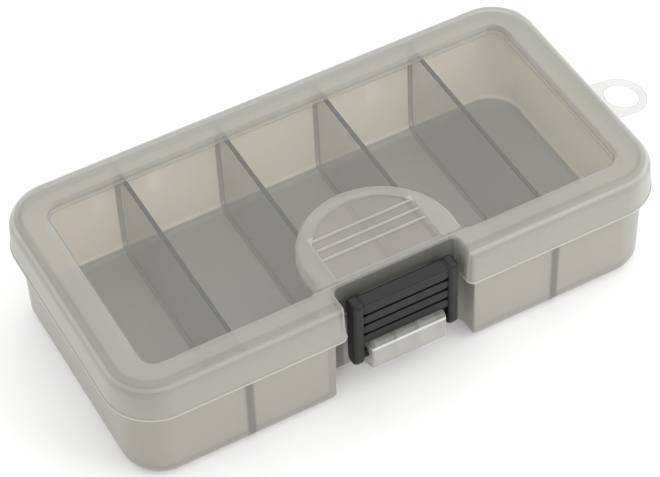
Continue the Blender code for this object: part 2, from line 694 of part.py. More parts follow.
def panel_outline():
    """The panel in (Y, Z) about the pivot: a flange on top, a round brow in front and the finger grooves."""
    face = LATCH_FRONT + PANEL_RECESS - PIVOT_Y
    rear = face + PANEL_WALL
    top = LATCH_TOP - PIVOT_HEIGHT
    foot = BOSS_TOP + PANEL_CLEARANCE - PIVOT_HEIGHT
    back = LATCH_BACK - PIVOT_Y - RAIL_EDGE_RADIUS / 2
    flange = top - FLANGE_WALL
    crest = top - RAIL_EDGE_RADIUS / 2
    brow = (face + PANEL_BROW_RADIUS - PANEL_BROW_PROUD, crest - PANEL_BROW_RADIUS)
    under = math.degrees(math.acos((brow[0] - face) / PANEL_BROW_RADIUS))
    points = [
        (face, foot),
        (rear, foot),
        (rear, flange),
        (back, flange),
        (back, top - RAIL_EDGE_RADIUS),
        (back - RAIL_EDGE_RADIUS, crest),
    ]
    points += arc(brow, PANEL_BROW_RADIUS, 90, 180 + under, 2 * EDGE_STEPS)
    for i in range(GROOVE_COUNT):
        middle = top - FIRST_GROOVE_DROP - i * GROOVE_PITCH
        upper, lower = middle + GROOVE_HEIGHT / 2, middle - GROOVE_HEIGHT / 2
        lip = GROOVE_HEIGHT / 4
        points += [
            (face, upper + lip),
            (face + lip, upper),
            (face + GROOVE_DEPTH, upper),
            (face + GROOVE_DEPTH, lower),
            (face + lip, lower),
            (face, lower - lip),
        ]
    return points


def make_latch(parts, tools):
    """The latch, with its origin on its pivot: the panel, then a rail and a stub at each side."""
    panel = across(profile_mesh("latch", [panel_outline()], 2 * RAIL_INNER + RAIL_WIDTH), 0)
    latch = add_part("latch", panel, "latch", parts)
    latch.location = (0, PIVOT_Y, PIVOT_HEIGHT)
    for side in SIDES:
        name = "latch_rail_" + side_name(side)
        rail_x = side * (RAIL_INNER + RAIL_WIDTH / 2)
        rail = across(profile_mesh(name, [rail_outline()], RAIL_WIDTH, RAIL_EDGE_RADIUS), rail_x)
        rail = add_tool(name, rail, tools)
        rail.location = latch.location
        join(latch, rail)
        name = "latch_stub_" + side_name(side)
        tip = side * (BOSS_WIDTH / 2 - STUB_ENTRY)
        stub = add_tool(name, rod(name, STUB_RADIUS, tip, rail_x, 0, 0), tools)
        stub.location = latch.location
        join(latch, stub)
    return latch


def main():
    clear_scene()
    parts = new_collection("compartment_box")
    tools = new_collection("shaping_tools")
    make_tray(parts, tools)
    make_partitions(parts)
    make_lid(parts, tools)
    make_latch(parts, tools)
    make_pins(parts)


main()
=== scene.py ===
"""Compartment storage box: the looks of a translucent tray, lid and partitions, a black latch and steel pins.

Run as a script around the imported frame. Metres, +Z up, +X towards the hang tab, the latch facing -Y.
"""

import json
import math

import bmesh
import bpy
from bpy.props import FloatProperty, FloatVectorProperty, IntProperty, PointerProperty
from mathutils import Matrix, Vector
from mathutils.geometry import tessellate_polygon


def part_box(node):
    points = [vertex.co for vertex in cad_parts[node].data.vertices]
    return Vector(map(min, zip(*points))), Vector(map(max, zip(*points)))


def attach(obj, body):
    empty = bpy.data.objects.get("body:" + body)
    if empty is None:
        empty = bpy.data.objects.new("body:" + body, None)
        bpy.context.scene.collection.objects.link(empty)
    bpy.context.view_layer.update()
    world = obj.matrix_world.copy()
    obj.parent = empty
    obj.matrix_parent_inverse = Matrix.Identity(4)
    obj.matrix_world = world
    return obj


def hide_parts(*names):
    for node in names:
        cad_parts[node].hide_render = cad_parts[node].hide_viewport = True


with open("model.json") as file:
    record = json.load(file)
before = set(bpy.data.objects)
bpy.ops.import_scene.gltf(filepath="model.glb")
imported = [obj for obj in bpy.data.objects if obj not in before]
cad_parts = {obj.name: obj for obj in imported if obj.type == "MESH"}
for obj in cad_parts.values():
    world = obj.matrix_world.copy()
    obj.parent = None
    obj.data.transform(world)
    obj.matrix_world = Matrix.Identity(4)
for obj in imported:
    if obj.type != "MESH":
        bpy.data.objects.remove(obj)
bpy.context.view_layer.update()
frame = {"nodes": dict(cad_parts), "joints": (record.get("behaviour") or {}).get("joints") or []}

bl_info = {
    "name": "Compartment storage box",
    "version": (1, 0, 0),
    "blender": (4, 5, 0),
    "location": "View3D > Sidebar > Storage box",
    "description": "Finishes a translucent storage box with partitions, a hinged lid and a front latch",
    "category": "Object",
}

MM = 0.001

# Where the frame's bodies and joints lie
LID_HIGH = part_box("lid")[1]
TRAY_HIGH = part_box("tray")[1]
LATCH_LOW, LATCH_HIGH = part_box("latch")
PIN_LOW, PIN_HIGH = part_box("hinge_pin_right")
JOINTS = {joint["name"]: Vector(joint["pos_m"]) for joint in frame["joints"]}
PIVOT = JOINTS["latch_pivot"]
HINGE = JOINTS["lid_hinge"]

# Lid
LID_LENGTH = 186.0 * MM
LID_WIDTH = 94.8 * MM
CLOSED_HEIGHT = LID_HIGH.z
SKIRT_DEPTH = 13.45 * MM
PLAN_RADIUS = 15.6 * MM
LID_EDGE_RADIUS = 4.4 * MM
LID_WALL = 1.5 * MM
LID_DRAFT = 0.5 * MM
BEAD_HEIGHT = 1.1 * MM
BEAD_PROUD = 0.3 * MM
SKIRT_LIP = 0.25 * MM

# Latch notch in the front of lid and tray
NOTCH_WIDTH = 42.6 * MM
NOTCH_DEPTH = 9.4 * MM
NOTCH_MOUTH_RADIUS = 2.0 * MM
NOTCH_ROOT_RADIUS = 2.5 * MM
NOTCH_EDGE_RADIUS = 1.0 * MM

# Sunk window in the top of the lid
WINDOW_DEPTH = 1.5 * MM
WINDOW_WALL = 1.5 * MM
WINDOW_SLOPE = 0.9 * MM
WINDOW_ROUND = 0.45 * MM
WINDOW_END_BORDER = 11.0 * MM
WINDOW_FRONT_BORDER = 9.9 * MM
WINDOW_BACK_BORDER = 11.4 * MM
WINDOW_RADIUS = 5.5 * MM
WINDOW_JOIN_RADIUS = 4.0 * MM

# Thumb pad, its sunk field and its ribs
PAD_RADIUS = 24.5 * MM
PAD_SETBACK = 17.4 * MM
FIELD_RADIUS = 20.5 * MM
FIELD_WIDTH = 35.6 * MM
FIELD_DEPTH = 0.5 * MM
FIELD_LAND = 1.7 * MM
FIELD_ROUND = 0.3 * MM
RIB_FIRST_SETBACK = 28.9 * MM
RIB_PITCH = 4.1 * MM
RIB_SINK = 0.3 * MM
RIB_END_SIZE = 0.55
RIB_END_LENGTH = 1.4 * MM

# Tray
SKIRT_CLEARANCE = 0.75 * MM
NOTCH_CLEARANCE = 1.2 * MM
TRAY_WALL = 1.4 * MM
TRAY_FLOOR = 1.6 * MM
TRAY_DRAFT = 0.2 * MM
FOOT_RADIUS = 4.9 * MM
NOTCH_FOOT_RADIUS = 4.2 * MM
MOUTH_GROWTH = 0.8
RIM_CHAMFER = 0.6 * MM
RIM_LEAN = 0.4 * MM
PARTITION_PITCH = 35.5 * MM
PARTITION_COUNT = 4
PARTITION_WALL = 1.4 * MM
SEAT_DEPTH = 0.5 * MM
SEAT_GAP = 0.3 * MM

# Boss that carries the latch
BOSS_SIDE_GAP = 1.6 * MM
BOSS_HEIGHT = 13.0 * MM
BOSS_RISE = 6.1 * MM
BOSS_NOSE_HEIGHT = 10.3 * MM
BOSS_NOSE_DEPTH = 5.4 * MM
BOSS_BROW = 2.0 * MM
BOSS_BROW_SHAPE = ((1, 0), (1 / 2, 1 / 9), (1 / 5, 1 / 3), (1 / 20, 5 / 8), (0, 1))
BOSS_EDGE_RADIUS = 0.5 * MM
BOSS_WALL = 2.2 * MM
BOSS_CORES = 3
BOSS_CORE_WEB = 1.3 * MM

# Latch
LATCH_SIDE_GAP = 3.1 * MM
RAIL_WIDTH = 3.7 * MM
RAIL_DEPTH = 5.5 * MM
PANEL_RECESS = 0.7 * MM
PANEL_WALL = 2.3 * MM
PANEL_CLEARANCE = 0.6 * MM
FIRST_GROOVE_DROP = 5.8 * MM
GROOVE_END_LENGTH = 2.2 * MM
PANEL_BROW_RADIUS = 0.9 * MM
PANEL_BROW_PROUD = 0.4 * MM
FLANGE_WALL = 2.6 * MM
LATCH_FRONT_ROUND = 1.7 * MM
LATCH_BACK_ROUND = 1.3 * MM
RAIL_EDGE_RADIUS = 0.8 * MM
RAIL_SOFTNESS = 1.2 * MM
STUB_RADIUS = 1.6 * MM
STUB_ENTRY = 1.4 * MM
LEDGE_WIDTH = 24.0 * MM
LEDGE_HEIGHT = 1.8 * MM
LEDGE_DROP = 1.3 * MM

# Hinges
HINGE_WIDTH = 24.6 * MM
EAR_WIDTH = 5.2 * MM
KNUCKLE_RADIUS = 2.4 * MM
EAR_GUSSET = 5.0 * MM
ARM_RISE = 5.2 * MM
PIN_RADIUS = 1.0 * MM
HINGE_ROUND = 0.25 * MM

# Hang tab
TAB_RADIUS = 8.5 * MM
TAB_HOLE_RADIUS = 5.8 * MM
TAB_REACH = 16.6 * MM
TAB_WALL = 1.3 * MM
TAB_DROP = 1.0 * MM
TAB_DROOP = math.radians(8)
TAB_ROUND = 0.35 * MM

# Clearances and the overruns of joins and cuts
RUNNING_GAP = 0.3 * MM
PIVOT_CLEARANCE = 0.1 * MM
PIN_CLEARANCE = 0.1 * MM
OVERRUN = 2.0 * MM
LEAST_RADIUS = 0.4 * MM
WELD = 0.002 * MM

# Facets of what no setting divides, and the angles that tell edges from faces
KNUCKLE_FACETS = 24
STUB_FACETS = 32
BAR_FACETS = 16
BAR_STATIONS = 49
RIM_FACETS = 5
FLAT_ANGLE = math.radians(1)
RIM_ANGLE = math.radians(60)
SMOOTH_ANGLE = math.radians(32)

# Levels and faces that several pieces share
SKIRT_BOTTOM = CLOSED_HEIGHT - SKIRT_DEPTH
LID_UNDERSIDE = CLOSED_HEIGHT - LID_WALL
WINDOW_TOP = CLOSED_HEIGHT - WINDOW_DEPTH
WINDOW_UNDERSIDE = WINDOW_TOP - WINDOW_WALL
RIM_TOP = TRAY_HIGH.z
NOTCH_RIM_TOP = WINDOW_UNDERSIDE - RUNNING_GAP
TRAY_INSET = LID_WALL + SKIRT_CLEARANCE
NOTCH_INSET = LID_WALL + NOTCH_CLEARANCE
FRONT = -LID_WIDTH / 2
NOTCH_BACK = FRONT + NOTCH_DEPTH
PAD_CENTRE_Y = FRONT + PAD_SETBACK
LATCH_FRONT = LATCH_LOW.y
LATCH_BACK = LATCH_HIGH.y
LATCH_TOP = LATCH_HIGH.z
RAIL_INNER = NOTCH_WIDTH / 2 - LATCH_SIDE_GAP - RAIL_WIDTH
BOSS_WIDTH = 2 * (RAIL_INNER - BOSS_SIDE_GAP)
BOSS_TOP = PIVOT.z + BOSS_RISE
BOSS_UNDERSIDE = BOSS_TOP - BOSS_HEIGHT
LEDGE_REACH = NOTCH_BACK - LATCH_BACK - RUNNING_GAP
HINGE_X = (PIN_LOW.x + PIN_HIGH.x) / 2

SIDES = (-1, 1)


# Sizes, colours and lights that a user would change

def count_setting(name, description, default, least, most):
    return IntProperty(name=name, description=description, default=default, min=least, max=most)


def length_setting(name, description, default):
    return FloatProperty(name=name, description=description, default=default, unit="LENGTH")


def share_setting(name, description, default, least=0, most=1):
    return FloatProperty(
        name=name, description=description, default=default, subtype="FACTOR", min=least, max=most,
    )


def power_setting(name, description, default):
    return FloatProperty(name=name, description=description, default=default, subtype="POWER", min=0, max=100)


def colour_setting(name, description, default):
    return FloatVectorProperty(
        name=name, description=description, default=default, subtype="COLOR", size=3, min=0, max=1,
    )


class BoxShape(bpy.types.PropertyGroup):
    """Sizes of what repeats on the box, and how finely its round faces are divided"""

    plan_facets: count_setting("Corner facets", "Facets in each quarter turn of the box's corners", 20, 4, 48)
    edge_facets: count_setting("Edge facets", "Facets across each rounded edge", 8, 2, 24)
    rib_count: count_setting("Pad ribs", "Ribs across the thumb pad", 3, 0, 5)
    rib_pitch: length_setting("Rib pitch", "Distance from one pad rib to the next", RIB_PITCH)
    rib_width: length_setting("Rib width", "Width of a pad rib", 1.0 * MM)
    rib_height: length_setting("Rib height", "How far a pad rib stands over the field", 0.48 * MM)
    groove_count: count_setting("Latch grooves", "Finger grooves across the latch", 3, 0, 3)
    groove_pitch: length_setting("Groove pitch", "Distance from one groove to the next", 4.25 * MM)
    groove_height: length_setting("Groove height", "Height of a finger groove", 0.95 * MM)
    groove_depth: length_setting("Groove depth", "Depth of a finger groove", 1.3 * MM)
    groove_flare: share_setting("Groove flare", "How much wider a groove is at its ends", 1.7, 1, 3)


class BoxFinish(bpy.types.PropertyGroup):
    """Colours and opacities of the box's plastics and steel"""

    lid_colour: colour_setting("Lid", "Colour of the lid's plastic", (0.395, 0.392, 0.355))
    lid_opacity: share_setting("Lid opacity", "Opacity of one surface of the lid's border and skirt", 0.43)
    window_colour: colour_setting("Window", "Colour of the haze in the clear window", (0.56, 0.56, 0.52))
    window_opacity: share_setting("Window opacity", "Opacity of one surface of the clear window", 0.08)
    tray_colour: colour_setting("Tray", "Colour of the tray's plastic", (0.335, 0.325, 0.29))
    tray_opacity: share_setting("Tray opacity", "Opacity of one surface of the tray's walls", 0.62)
    # Painted light: the inner walls' colour is much lighter than the tray's, as if lit through the walls.
    inside_colour: colour_setting(
        "Tray inside", "Colour of the tray's walls, seen from inside", (0.95, 0.865, 0.725),
    )
    inside_opacity: share_setting("Inside opacity", "Opacity of the tray's walls, seen from inside", 0.78)
    hinge_opacity: share_setting("Hinge opacity", "Opacity of one surface of the hinge's ears and arms", 0.12)
    # Painted shade: the floor inside is painted darker than the walls.
    floor_colour: colour_setting(
        "Tray floor", "Colour of the tray's floor, seen from inside", (0.236, 0.230, 0.206),
    )
    floor_opacity: share_setting("Floor opacity", "Opacity of the tray's floor, seen from inside", 0.80)
    boss_colour: colour_setting("Boss", "Colour of the boss that carries the latch", (0.46, 0.45, 0.42))
    boss_opacity: share_setting("Boss opacity", "Opacity of one surface of the boss", 0.48)
    partition_colour: colour_setting("Partitions", "Colour of the partitions' plastic", (0.15, 0.155, 0.14))
    partition_opacity: share_setting("Partition opacity", "Opacity of one surface of a partition", 0.11)
    latch_colour: colour_setting("Latch", "Colour of the latch's plastic", (0.014, 0.0132, 0.0128))
    steel_colour: colour_setting("Steel", "Colour of the hinge pins", (0.56, 0.56, 0.55))


class StudioLight(bpy.types.PropertyGroup):
    """The light and the floor that the box is shown with"""

    world_level: share_setting("World level", "Strength of the even light from all round", 1.04, 0, 4)
    key_power: power_setting("Key lamp", "Power of the large lamp above the right front", 2.6)
    back_power: power_setting("Back lamp", "Power of the lamp above the back", 1.2)
    floor_colour: colour_setting("Floor", "Colour of the floor", (0.93, 0.93, 0.93))


# Mesh tools

def arc(centre, radius, start, end, steps):
    """Points on a circle from one angle to another, in degrees."""
    angles = [math.radians(start + (end - start) * i / steps) for i in range(steps + 1)]
    return [(centre[0] + radius * math.cos(a), centre[1] + radius * math.sin(a)) for a in angles]


def soft_step(start, end, steps):
    """Points from start to end in an S-shaped curve: rounded at the top, sloping, and rounded at the foot."""
    points = []
    for i in range(steps + 1):
        share = i / steps
        fall = share * share * (3 - 2 * share)
        points.append((start[0] + (end[0] - start[0]) * share, start[1] + (end[1] - start[1]) * fall))
    return points


def add_ring(bm, points):
    return [bm.verts.new(point) for point in points]


def bridge(bm, rings):
    """Quads from each ring of vertices to the next."""
    for lower, upper in zip(rings, rings[1:]):
        for i in range(len(lower)):
            j = (i + 1) % len(lower)
            bm.faces.new((lower[i], lower[j], upper[j], upper[i]))


def fill(bm, *rings):
    """A flat face inside the first ring, open inside each of the others."""
    verts = [vert for ring in rings for vert in ring]
    for triangle in tessellate_polygon([[vert.co for vert in ring] for ring in rings]):
        bm.faces.new([verts[i] for i in triangle])


def mesh_of(bm, name):
    bmesh.ops.recalc_face_normals(bm, faces=bm.faces)
    mesh = bpy.data.meshes.new(name)
    bm.to_mesh(mesh)
    bm.free()
    return mesh


def loft(name, rings):
    """A closed mesh through rings of equally many points, flat at the first and the last."""
    bm = bmesh.new()
    rings = [add_ring(bm, ring) for ring in rings]
    bridge(bm, rings)
    fill(bm, rings[0])
    fill(bm, rings[-1])
    return mesh_of(bm, name)


def prism(name, loops, low, high, rounding=0):
    """A flat outline with its holes, drawn in (x, y), from one height to another, with its rims rounded."""
    bm = bmesh.new()
    below = [add_ring(bm, [(x, y, low) for x, y in loop]) for loop in loops]
    above = [add_ring(bm, [(x, y, high) for x, y in loop]) for loop in loops]
    fill(bm, *below)
    fill(bm, *above)
    for lower, upper in zip(below, above):
        bridge(bm, [lower, upper])
    bmesh.ops.recalc_face_normals(bm, faces=bm.faces)
    if rounding:
        bmesh.ops.dissolve_limit(bm, angle_limit=FLAT_ANGLE, verts=bm.verts, edges=bm.edges)
        rims = [edge for edge in bm.edges if edge.calc_face_angle(0) > RIM_ANGLE]
        bmesh.ops.bevel(
            bm, geom=rims, affect="EDGES", offset=rounding, segments=RIM_FACETS, profile=0.5,
            clamp_overlap=True,
        )
    return mesh_of(bm, name)


def cross_prism(name, loops, width, centre_x=0, rounding=0):
    """An outline drawn in (Y, Z), stood up so that its width runs along X about centre_x."""
    mesh = prism(name, loops, -width / 2, width / 2, rounding)
    upright = Matrix(((0, 0, 1), (1, 0, 0), (0, 1, 0))).to_4x4()
    mesh.transform(Matrix.Translation((centre_x, 0, 0)) @ upright)
    return mesh


def cylinder(name, radius, start_x, end_x, y, z):
    """A cylinder along X."""
    place = Matrix.Translation(((start_x + end_x) / 2, y, z)) @ Matrix.Rotation(math.radians(90), 4, "Y")
    bm = bmesh.new()
    bmesh.ops.create_cone(
        bm, cap_ends=True, segments=STUB_FACETS, radius1=radius, radius2=radius,
        depth=abs(end_x - start_x), matrix=place,
    )
    return mesh_of(bm, name)


def block(name, low, high):
    """A box between two corners."""
    low, high = Vector(low), Vector(high)
    place = Matrix.Translation((low + high) / 2)
    bm = bmesh.new()
    bmesh.ops.create_cube(bm, size=1, matrix=place @ Matrix.Diagonal((*(high - low), 1)))
    return mesh_of(bm, name)


def together(name, meshes):
    """Several closed bodies that don't touch, as one mesh."""
    bm = bmesh.new()
    for mesh in meshes:
        bm.from_mesh(mesh)
        bpy.data.meshes.remove(mesh)
    mesh = bpy.data.meshes.new(name)
    bm.to_mesh(mesh)
    bm.free()
    return mesh


def add_object(name, data):
    obj = bpy.data.objects.new(name, data)
    bpy.context.scene.collection.objects.link(obj)
    return obj


def plain_mesh(obj):
    """The object's mesh with its modifiers taken up."""
    graph = bpy.context.evaluated_depsgraph_get()
    mesh = bpy.data.meshes.new_from_object(obj.evaluated_get(graph), depsgraph=graph)
    obj.modifiers.clear()
    return mesh


def combine(mesh, other, operation):
    """One mesh with another joined to it or cut out of it."""
    target = add_object("target", mesh)
    tool = add_object("tool", other)
    modifier = target.modifiers.new("combine", "BOOLEAN")
    modifier.operation = operation
    modifier.solver = "EXACT"
    modifier.object = tool
    result = plain_mesh(target)
    bpy.data.objects.remove(target)
    bpy.data.objects.remove(tool)
    bpy.data.meshes.remove(other)
    if not result.polygons:
        raise RuntimeError(f"the {operation} of {mesh.name} came out empty")
    result.name = mesh.name
    return result


def smooth(mesh):
    """Shades round faces smooth, and keeps flat faces flat by weighing the normals by area."""
    bm = bmesh.new()
    bm.from_mesh(mesh)
    bmesh.ops.remove_doubles(bm, verts=bm.verts, dist=WELD)
    bmesh.ops.dissolve_degenerate(bm, edges=bm.edges, dist=WELD)
    bmesh.ops.triangulate(bm, faces=[face for face in bm.faces if len(face.verts) > 4])
    bm.to_mesh(mesh)
    bm.free()
    mesh.shade_smooth()
    mesh.set_sharp_from_angle(angle=SMOOTH_ANGLE)
    obj = add_object(mesh.name, mesh)
    weigh = obj.modifiers.new("flat faces", "WEIGHTED_NORMAL")
    weigh.keep_sharp = True
    result = plain_mesh(obj)
    bpy.data.objects.remove(obj)
    result.name = mesh.name
    return result


def add_piece(name, mesh, body, slot, material, *nodes):
    """A finished piece that rides on a body and stands for the frame's nodes."""
    obj = add_object(name, mesh)
    mesh.materials.clear()
    mesh.materials.append(material)
    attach(obj, body)
    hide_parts(*nodes)


def paint_nodes(prefix, material):
    """Gives a material to the frame's own solids whose names start alike."""
    for name, obj in frame["nodes"].items():
        if name.startswith(prefix):
            obj.material_slots[0].material = material


def side_name(side):
    return "right" if side > 0 else "left"


# Node trees

class Wiring:
    """Short calls that add nodes to a tree. An input is a value, or another node's output."""

    def __init__(self, tree):
        self.tree = tree

    def fill(self, node, inputs):
        for key, value in inputs.items():
            if isinstance(value, bpy.types.NodeSocket):
                self.tree.links.new(value, node.inputs[key])
            else:
                node.inputs[key].default_value = value

    def node(self, kind, inputs=None, **settings):
        made = self.tree.nodes.new(kind)
        for key, value in settings.items():
            setattr(made, key, value)
        self.fill(made, inputs or {})
        return made

    def number(self, operation, *values, **settings):
        made = self.node("ShaderNodeMath", dict(enumerate(values)), operation=operation, **settings)
        return made.outputs[0]

    def vector(self, operation, *values):
        made = self.node("ShaderNodeVectorMath", dict(enumerate(values)), operation=operation)
        return made.outputs["Value" if operation == "LENGTH" else "Vector"]

    def ramp(self, value, start, end, first=0.0, last=1.0, **settings):
        """A number that goes from the first to the last while the value goes from start to end."""
        inputs = {"Value": value, "From Min": start, "From Max": end, "To Min": first, "To Max": last}
        return self.node("ShaderNodeMapRange", inputs, **settings).outputs[0]

    def fade(self, value, start, end):
        return self.ramp(value, start, end, 1.0, 0.0)

    def split(self, vector):
        return self.node("ShaderNodeSeparateXYZ", {0: vector}).outputs

    def join(self, x, y=0.0, z=0.0):
        return self.node("ShaderNodeCombineXYZ", {0: x, 1: y, 2: z}).outputs[0]

    def mix(self, mask, first, second):
        return self.node("ShaderNodeMix", {0: mask, 2: first, 3: second}, data_type="FLOAT").outputs[0]

    def mix_colour(self, mask, first, second, **settings):
        """A colour from the first to the second, which are outputs or three numbers each."""
        inputs = {0: mask}
        for key, colour in ((6, first), (7, second)):
            inputs[key] = colour if isinstance(colour, bpy.types.NodeSocket) else (*colour, 1)
        return self.node("ShaderNodeMix", inputs, data_type="RGBA", **settings).outputs[2]

    def tinted(self, colour, mask, spread):
        """A colour that runs from a little darker to a little lighter with a mask."""
        return self.mix_colour(mask, shade(colour, 1 - spread), shade(colour, 1 + spread))

    def bump(self, height, strength, distance):
        inputs = {"Height": height, "Strength": strength, "Distance": distance}
        return self.node("ShaderNodeBump", inputs).outputs[0]

    def place(self):
        """The point's place in the object's own coordinates."""
        return self.node("ShaderNodeTexCoord").outputs["Object"]

    def group(self, build, **inputs):
        """The outputs of the shared group that a function builds at its first use."""
        shared = bpy.data.node_groups.get(build.__name__) or build()
        return self.node("ShaderNodeGroup", labelled(inputs), node_tree=shared).outputs

    def give(self, **results):
        """Ends a group with these numbers as its outputs, and returns its tree."""
        for label in results:
            self.tree.interface.new_socket(label, in_out="OUTPUT", socket_type="NodeSocketFloat")
        self.node("NodeGroupOutput", results)
        return self.tree


def labelled(values):
    """Values by their inputs' labels, such as Half size for half_size."""
    return {key.replace("_", " ").capitalize(): value for key, value in values.items()}


def bar_row_tree():
    """A node tree that makes a row of equal bars along X, with rounded section and ends."""
    tree = bpy.data.node_groups.new("bar_row", "GeometryNodeTree")
    face = tree.interface
    face.new_socket("Geometry", in_out="INPUT", socket_type="NodeSocketGeometry")
    for label, kind, value in (
        ("Count", "NodeSocketInt", 3),
        ("Step", "NodeSocketVector", (0, 0, 0)),
        ("First", "NodeSocketVector", (0, 0, 0)),
        ("Length", "NodeSocketFloat", 1.0),
        ("Half across", "NodeSocketFloat", 1.0),
        ("Half upright", "NodeSocketFloat", 1.0),
        ("End size", "NodeSocketFloat", 1.0),
        ("End length", "NodeSocketFloat", 1.0),
    ):
        face.new_socket(label, in_out="INPUT", socket_type=kind).default_value = value
    face.new_socket("Material", in_out="INPUT", socket_type="NodeSocketMaterial")
    face.new_socket("Geometry", in_out="OUTPUT", socket_type="NodeSocketGeometry")
    wire = Wiring(tree)
    given = wire.node("NodeGroupInput").outputs

    # The bar's line along X, from end to end
    half = wire.number("MULTIPLY", given["Length"], 0.5)
    start = wire.join(wire.number("MULTIPLY", given["Length"], -0.5))
    line = wire.node("GeometryNodeCurvePrimitiveLine", {"Start": start, "End": wire.join(half)})
    fine = wire.node("GeometryNodeResampleCurve", {"Curve": line.outputs["Curve"], "Count": BAR_STATIONS})

    # Near its ends the bar swells or tapers to End size
    along = wire.split(wire.node("GeometryNodeInputPosition").outputs[0])["X"]
    left = wire.number("SUBTRACT", half, wire.number("ABSOLUTE", along))
    girth = wire.ramp(
        left, 0.0, given["End length"], given["End size"], 1.0, interpolation_type="SMOOTHSTEP",
    )

    # An oval section, carried along the line
    circle = wire.node("GeometryNodeCurvePrimitiveCircle", {"Radius": 1.0, "Resolution": BAR_FACETS})
    size = wire.join(given["Half across"], given["Half upright"], 1.0)
    oval = wire.node("GeometryNodeTransform", {"Geometry": circle.outputs["Curve"], "Scale": size})
    bar = wire.node("GeometryNodeCurveToMesh", {
        "Curve": fine.outputs["Curve"], "Profile Curve": oval.outputs["Geometry"], "Scale": girth,
        "Fill Caps": True,
    })

    # The row
    row = wire.node("GeometryNodeMeshLine", {
        "Count": given["Count"], "Start Location": given["First"], "Offset": given["Step"],
    })
    copies = {"Points": row.outputs["Mesh"], "Instance": bar.outputs["Mesh"]}
    copies = wire.node("GeometryNodeInstanceOnPoints", copies).outputs["Instances"]
    real = wire.node("GeometryNodeRealizeInstances", {"Geometry": copies}).outputs["Geometry"]
    paint = wire.node("GeometryNodeSetMaterial", {"Geometry": real, "Material": given["Material"]})
    wire.node("NodeGroupOutput", {"Geometry": paint.outputs["Geometry"]})
    return tree


def bar_row(name, material, **values):
    """A row of equal bars as a plain mesh, from the node tree's named inputs."""
    tree = bpy.data.node_groups.get("bar_row") or bar_row_tree()
    obj = add_object(name, bpy.data.meshes.new(name))
    modifier = obj.modifiers.new("row", "NODES")
    modifier.node_group = tree
    given = labelled(values)
    given["Material"] = material
    for item in tree.interface.items_tree:
        if item.item_type == "SOCKET" and item.in_out == "INPUT" and item.name in given:
            modifier[item.identifier] = given[item.name]
    mesh = plain_mesh(obj)
    bpy.data.objects.remove(obj)
    if not mesh.polygons:
        raise RuntimeError(f"the row {name} came out empty")
    bm = bmesh.new()
    bm.from_mesh(mesh)
    bmesh.ops.recalc_face_normals(bm, faces=bm.faces)
    bm.to_mesh(mesh)
    bm.free()
    mesh.name = name
    return mesh


# The plan of the box, which lid and tray share

def plan_corners(rim_inset, notch_inset):
    """(x, y, radius, part before, part after) of each corner, anticlockwise from the right front one."""
    end = LID_LENGTH / 2 - rim_inset
    side = LID_WIDTH / 2 - rim_inset
    half = NOTCH_WIDTH / 2 + notch_inset
    back = NOTCH_BACK + notch_inset
    depth = back + side
    outer = max(PLAN_RADIUS - rim_inset, LEAST_RADIUS)
    mouth = max(min(NOTCH_MOUTH_RADIUS - (rim_inset + notch_inset) / 2, depth / 2), LEAST_RADIUS)
    mouth += MOUTH_GROWTH * max(rim_inset - TRAY_INSET, 0)
    root = min(NOTCH_ROOT_RADIUS + notch_inset, depth / 2)
    return [
        (end, -side, outer, 0, 0),
        (end, side, outer, 0, 0),
        (-end, side, outer, 0, 0),
        (-end, -side, outer, 0, 0),
        (-half, -side, mouth, 0, 1),
        (-half, back, root, 1, 1),
        (half, back, root, 1, 1),
        (half, -side, mouth, 1, 0),
    ]


def plan_ring(insets, heights, facets):
    """One turn round the plan: an inset and a height for the rim, and one of each for the notch."""
    corners = plan_corners(*insets)
    ring = []
    for i, (x, y, radius, before, after) in enumerate(corners):
        last, following = corners[i - 1], corners[(i + 1) % len(corners)]
        corner = Vector((x, y))
        arriving = (corner - Vector(last[:2])).normalized()
        leaving = (Vector(following[:2]) - corner).normalized()
        centre = corner + (leaving - arriving) * radius
        steps = facets // 2 if 1 in (before, after) else facets
        for step in range(steps + 1):
            share = step / steps
            turn = share * math.pi / 2
            point = centre + (arriving * math.sin(turn) - leaving * math.cos(turn)) * radius
            height = heights[before] * (1 - share) + heights[after] * share
            ring.append((point.x, point.y, height))
    return ring


def sweep(rim_section, notch_section, facets):
    """The rings of a wall's section, a list of (inset, height), carried once round the plan."""
    rings = []
    for (rim_inset, rim_height), (notch_inset, notch_height) in zip(rim_section, notch_section):
        rings.append(plan_ring((rim_inset, notch_inset), (rim_height, notch_height), facets))
    return rings


# Lid

def lid_section(edge_radius, facets):
    """From the top over the edge, down the skirt, round its bead and lip, and back up inside."""
    inner_radius = max(edge_radius - LID_WALL, LEAST_RADIUS)
    over = arc((edge_radius, CLOSED_HEIGHT - edge_radius), edge_radius, 90, 180, facets)
    bead = []
    for i in range(facets + 1):
        turn = math.pi * i / facets
        rise = BEAD_HEIGHT / 2 * (1 + math.cos(turn))
        bead.append((-LID_DRAFT - BEAD_PROUD * math.sin(turn), SKIRT_BOTTOM + SKIRT_LIP + rise))
    inside = LID_WALL - LID_DRAFT
    lip = [
        (SKIRT_LIP - LID_DRAFT, SKIRT_BOTTOM),
        (inside - SKIRT_LIP, SKIRT_BOTTOM),
        (inside, SKIRT_BOTTOM + SKIRT_LIP),
    ]
    centre = (LID_WALL + inner_radius, LID_UNDERSIDE - inner_radius)
    return over + bead + lip + arc(centre, inner_radius, 180, 90, facets)


